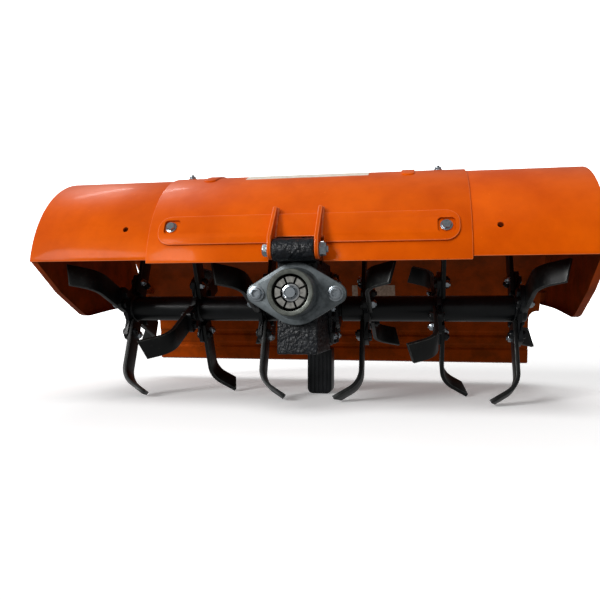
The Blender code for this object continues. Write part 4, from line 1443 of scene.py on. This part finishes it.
@dataclass(frozen=True)
class Rotor:
    """Tubes, lobed flanges, bent tines and the bolts that hold them."""

    layout: Layout
    tube_radius: float = 0.0255
    bore: float = 0.0164
    hub_radius: float = 0.043
    lobe_radius: float = 0.072
    lobe_width: float = 0.046
    flange_thickness: float = 0.008
    places: tuple = (-0.393, -0.245, -0.106, 0.106, 0.245, 0.393)
    rest_turn: float = 3.16247
    tine_phase: float = 22.5
    tine_circle: float = 0.187
    tine_width: float = 0.040
    tine_thickness: float = 0.008
    tine_root: float = 0.030
    bend_radius: float = 0.045
    bend: float = 58.0
    tip: float = 0.036
    tip_slant: float = 0.012
    edge: float = 0.0011
    weld_bumps: float = 0.0006
    bolt_reach: float = 0.056
    bolt_apart: float = 0.0105

    def build(self) -> None:
        """Build the tubes, then each flange with its tines."""
        for side in ("left", "right"):
            node = "rotor_tube_" + side
            low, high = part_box(node)
            profile = sleeve(low.x, high.x, self.bore, self.tube_radius, 0.002)
            bm = turned(profile, self.layout.at(), X_AXIS, 48)
            piece(bm, "rotor_sleeve_" + side, Body.ROTOR, [SATIN_BLACK], [node])
        for number, place in enumerate(self.places, start=1):
            phase = (self.tine_phase if number in (2, 5) else -self.tine_phase) + self.rest_turn
            self.flange(number, place, phase)

    def turn(self, place: float, degrees: float) -> Matrix:
        """Move from the tine's own place to a place on the axle, turned about it."""
        return Matrix.Translation(self.layout.at(x=place)) @ turn_about(degrees, "X")

    def flange(self, number: int, place: float, phase: float) -> None:
        """One lobed flange with its four tines and sixteen bolt ends."""
        half = self.lobe_width / 2
        middle = X_AXIS * self.flange_thickness / 2
        bm = rod(-middle, middle, self.hub_radius, 48)
        for step in range(2):
            sides = rectangle(-half, half, -self.lobe_radius, self.lobe_radius)
            arm = plate(sides, self.flange_thickness, 0.009, 4)
            stand = turn_about(90, "Z") @ turn_about(90, "X")
            quarter = turn_about(90 * step, "X")
            move(arm, quarter @ Matrix.Translation(-middle) @ stand)
            bm = carve(bm, arm, "UNION")
        bm = carve(bm, rod(-X_AXIS * 0.1, X_AXIS * 0.1, self.tube_radius + 0.0003, 48))
        soften(bm, 0.0008, 1, 50)
        for sign in (LEFT, RIGHT):
            inner = self.tube_radius + 0.0004
            start = sign * (self.flange_thickness / 2 - 0.0004)
            bead = turned(
                [
                    (0, inner), (0.0044, inner), (0.0038, inner + 0.002), (0.002, inner + 0.0036),
                    (0, inner + 0.0042), (0, inner)
                ],
                X_AXIS * start, X_AXIS * sign, 40
            )
            for vert in bead.verts:
                out = Vector((0, vert.co.y, vert.co.z)).normalized()
                vert.co += out * self.weld_bumps * noise.noise(vert.co * 300)
            merge(bm, bead)
        node = "blade_flange_%d" % number
        move(bm, self.turn(place, phase))
        piece(bm, "tine_flange_%d" % number, Body.ROTOR, [SATIN_BLACK], [node])
        bolts = bmesh.new()
        upright = -1 if number in (4, 6) else 1
        seat = self.flange_thickness / 2 + 0.0003 + self.tine_thickness / 2
        head = Fastener(Head.HEXAGON, 0.0150, 0.0055)
        nut = Fastener(Head.NUT, 0.0145, 0.0065, stud=0.0030, stud_radius=0.0042)
        for step, direction in enumerate(("down", "rear", "up", "front")):
            side = upright if step % 2 == 0 else -upright
            matrix = self.turn(place, phase + 90 * step)
            self.tine(number, direction, side, matrix @ Matrix.Translation((side * seat, 0, 0)))
            for sign in (LEFT, RIGHT):
                spot = Vector((0, sign * self.bolt_apart, -self.bolt_reach))
                outer = spot + X_AXIS * side * (seat + self.tine_thickness / 2)
                inner = spot - X_AXIS * side * self.flange_thickness / 2
                ends = bmesh.new()
                nut.add(ends, outer, X_AXIS * side, 25 * sign + 11 * step, int(sign < 0))
                head.add(ends, inner, -X_AXIS * side, 17 * sign + 23 * step, 1)
                merge(bolts, ends, matrix)
        piece(bolts, "tine_bolts_%d" % number, Body.ROTOR, [ZINC, SATIN_BLACK])

    def tine(self, number: int, direction: str, side: int, matrix: Matrix) -> None:
        """One tine: a flat bar drawn down, spun round its bend and drawn out to a slanted tip.

        Args:
            number: Flange number.
            direction: Where the tine points at rest.
            side: Side that it bends to.
            matrix: Its place on the axle.
        """
        turn = math.radians(self.bend)
        half, thick = self.tine_width / 2, self.tine_thickness / 2
        low = self.tine_circle - self.bend_radius * math.sin(turn) - self.tip * math.cos(turn)
        bm = bmesh.new()
        corners = rectangle(-thick, thick, -half, half)
        face = bm.faces.new([bm.verts.new((x, y, -self.tine_root)) for x, y in corners])
        lobe = -self.lobe_radius + 0.004
        face = pull(bm, [face], (0, 0, lobe + self.tine_root))
        face = pull(bm, face, (0, 0, -low - lobe), keep=False)
        spun = bmesh.ops.spin(
            bm, geom=face, cent=(self.bend_radius, 0, -low), axis=(0, -1, 0), angle=turn, steps=10
        )
        drop_inner(bm, face)
        end = picked(spun["geom_last"], Face)
        run = Vector((math.sin(turn), 0, -math.cos(turn)))
        end = pull(bm, end, run * (self.tip * 0.55), keep=False)
        end = pull(bm, end, run * (self.tip * 0.45), keep=False)
        for vert in end[0].verts:
            if vert.co.y > 0:
                vert.co -= run * self.tip_slant
        bmesh.ops.remove_doubles(bm, verts=bm.verts, dist=TINY)
        outwards(bm)
        soften(bm, self.edge, 2, 50, material=1)
        for face in bm.faces:
            middle = face.calc_center_median()
            if middle.z > -self.lobe_radius - 0.02:
                face.material_index = 0
        if side < 0:
            move(bm, Matrix.Diagonal((-1, 1, 1, 1)))
            outwards(bm)
        move(bm, matrix)
        node = "tine_%d_%s" % (number, direction)
        name = "blade_%d_%s" % (number, direction)
        piece(bm, name, Body.ROTOR, [FORGED_BLACK, GROUND_EDGE], [node])


@dataclass(frozen=True)
class Studio:
    """Plain pale sweep, soft lights and the camera."""

    camera_place: tuple = (0.192, -1.2815, 0.1623)
    yaw: float = 10.2
    pitch: float = -1.60
    roll: float = 0.19
    lens: float = 37.02
    paper_colour: str = "FFFFFF"
    ambience: float = 0.27

    def build(self) -> None:
        """Build the sweep, the lights and the camera."""
        self.sweep()
        self.world()
        self.sun("ceiling", (-0.05, -0.38, 0.92), 1.12, 38, False)
        self.sun("window", (-0.56, -0.76, 0.34), 2.15, 20, True)
        self.light("top_strip", (-1.5, 0.9, 2.0), (-0.5, 0.0, 0.4), (0.7, 0.12), 5)
        self.camera()

    def sweep(self) -> None:
        """A paper sweep: floor, curve and back wall in one sheet."""
        bm = bmesh.new()
        wide, front, back, radius, tall = 7.0, -4.0, 3.0, 1.0, 5.0
        edge = bm.edges.new([bm.verts.new((x, front, 0)) for x in (-wide, wide)])
        last = self.drawn(bm, [edge], (0, back - front, 0))
        turn = math.radians(90)
        spun = bmesh.ops.spin(
            bm, geom=last, cent=(0, back, radius), axis=X_AXIS, angle=turn, steps=16
        )
        self.drawn(bm, picked(spun["geom_last"], Edge), (0, 0, tall))
        mesh = bpy.data.meshes.new("paper_sweep")
        bm.to_mesh(mesh)
        bm.free()
        mesh.shade_smooth()
        for name, glow in (("matt_white_paper", 0.2), ("lit_white_paper", 1.0)):
            material = bpy.data.materials.new(name)
            material.use_nodes = True
            shader = material.node_tree.nodes["Principled BSDF"]
            paper = linear(self.paper_colour)
            sockets = {"Base Color": paper, "Roughness": 0.9, "Specular IOR Level": 0.1}
            sockets.update({"Emission Color": paper, "Emission Strength": glow})
            for key, value in sockets.items():
                shader.inputs[key].default_value = value
            mesh.materials.append(material)
        for face in mesh.polygons:
            face.material_index = 1 if face.center.z > 0.0001 else 0
        obj = put("paper_sweep", mesh)
        obj.visible_diffuse = False
        obj.visible_glossy = False

    @staticmethod
    def drawn(bm: Mesh, edges: Sequence[Edge], offset: Sequence[float]) -> list[Edge]:
        """Draw edges out into a sheet, and give back its far edges."""
        grown = bmesh.ops.extrude_edge_only(bm, edges=edges)["geom"]
        bmesh.ops.translate(bm, verts=picked(grown, Vert), vec=offset)
        return picked(grown, Edge)

    def world(self) -> None:
        """Soft light from all round, dimmer than the white backdrop that is seen."""
        world = bpy.data.worlds.new("studio")
        world.use_nodes = True
        tree = world.node_tree
        backdrop = tree.nodes["Background"]
        backdrop.inputs["Color"].default_value = linear("FFFFFF")
        seen = add_node(tree, "LightPath").outputs["Is Camera Ray"]
        sockets = {0: seen, 1: 1.0 - self.ambience, 2: self.ambience}
        strength = add_node(tree, "Math", sockets, operation="MULTIPLY_ADD").outputs[0]
        tree.links.new(strength, backdrop.inputs["Strength"])
        bpy.context.scene.world = world
        bpy.context.scene.view_settings.view_transform = "Standard"

    def sun(
        self, name: str, towards: Sequence[float], power: float, softness: float, glints: bool
    ) -> None:
        """An even light from one direction, soft as from a wide window.

        Args:
            name: Name of the light.
            towards: Direction from the object to the light.
            power: Irradiance.
            softness: Angle that the light spans, in degrees.
            glints: Whether shiny surfaces show it.
        """
        data = bpy.data.lights.new(name, "SUN")
        data.energy = power
        data.angle = math.radians(softness)
        obj = put(name, data)
        obj.matrix_world = facing(Vector(towards))
        obj.visible_glossy = glints

    def light(
        self, name: str, place: Sequence[float], target: Sequence[float], size: Sequence[float],
        power: float
    ) -> None:
        """A rectangular softbox aimed at a point."""
        data = bpy.data.lights.new(name, "AREA")
        data.shape = "RECTANGLE"
        data.size, data.size_y = size
        data.energy = power
        aim = Vector(target) - Vector(place)
        put(name, data).matrix_world = Matrix.Translation(place) @ facing(aim, "-Z")

    def camera(self) -> None:
        """The camera, from its yaw, pitch and roll."""
        yaw, pitch = math.radians(self.yaw), math.radians(self.pitch)
        ahead = Vector(
            (-math.sin(yaw) * math.cos(pitch), math.cos(yaw) * math.cos(pitch), -math.sin(pitch))
        )
        right = Vector((math.cos(yaw), math.sin(yaw), 0))
        up = right.cross(ahead)
        turn = Matrix((right, up, -ahead)).transposed().to_4x4()
        data = bpy.data.cameras.new("camera")
        data.lens = self.lens
        data.sensor_width = 36.0
        obj = put("camera", data)
        roll = turn_about(self.roll, "Z")
        obj.matrix_world = Matrix.Translation(self.camera_place) @ turn @ roll
        bpy.context.scene.camera = obj


CARRIED = {
    "hood_rib": SATIN_BLACK, "foot_arm": SATIN_BLACK, "hinge_strip": ENAMEL, "hinge_rod": ZINC,
    "rotor_shaft": SATIN_BLACK
}


def dress_carried(nodes: dict[str, bpy.types.Object]) -> None:
    """Give the frame's own shown nodes their real finishes."""
    for name, finish in CARRIED.items():
        for slot in nodes[name].material_slots:
            slot.material = PALETTE.of(finish)
        LOG.info("%s: carried over in %s", name, finish.name)


def clear() -> None:
    """Remove the startup objects."""
    for obj in list(bpy.data.objects):
        bpy.data.objects.remove(obj, do_unlink=True)


def main() -> None:
    """Build the looks, sub-assembly by sub-assembly."""
    logging.basicConfig(level=logging.INFO, format="%(name)s %(message)s")
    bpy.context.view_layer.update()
    layout = Layout.read(FRAME["joints"])
    for assembly in (
        Hood(layout), SidePlates(layout), Flap(layout), Gearbox(layout), Rotor(layout), Studio()
    ):
        assembly.build()
        LOG.info("built %s", type(assembly).__name__)
    dress_carried(FRAME["nodes"])


if __name__ == "__main__":
    clear()
    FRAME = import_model()
    main()
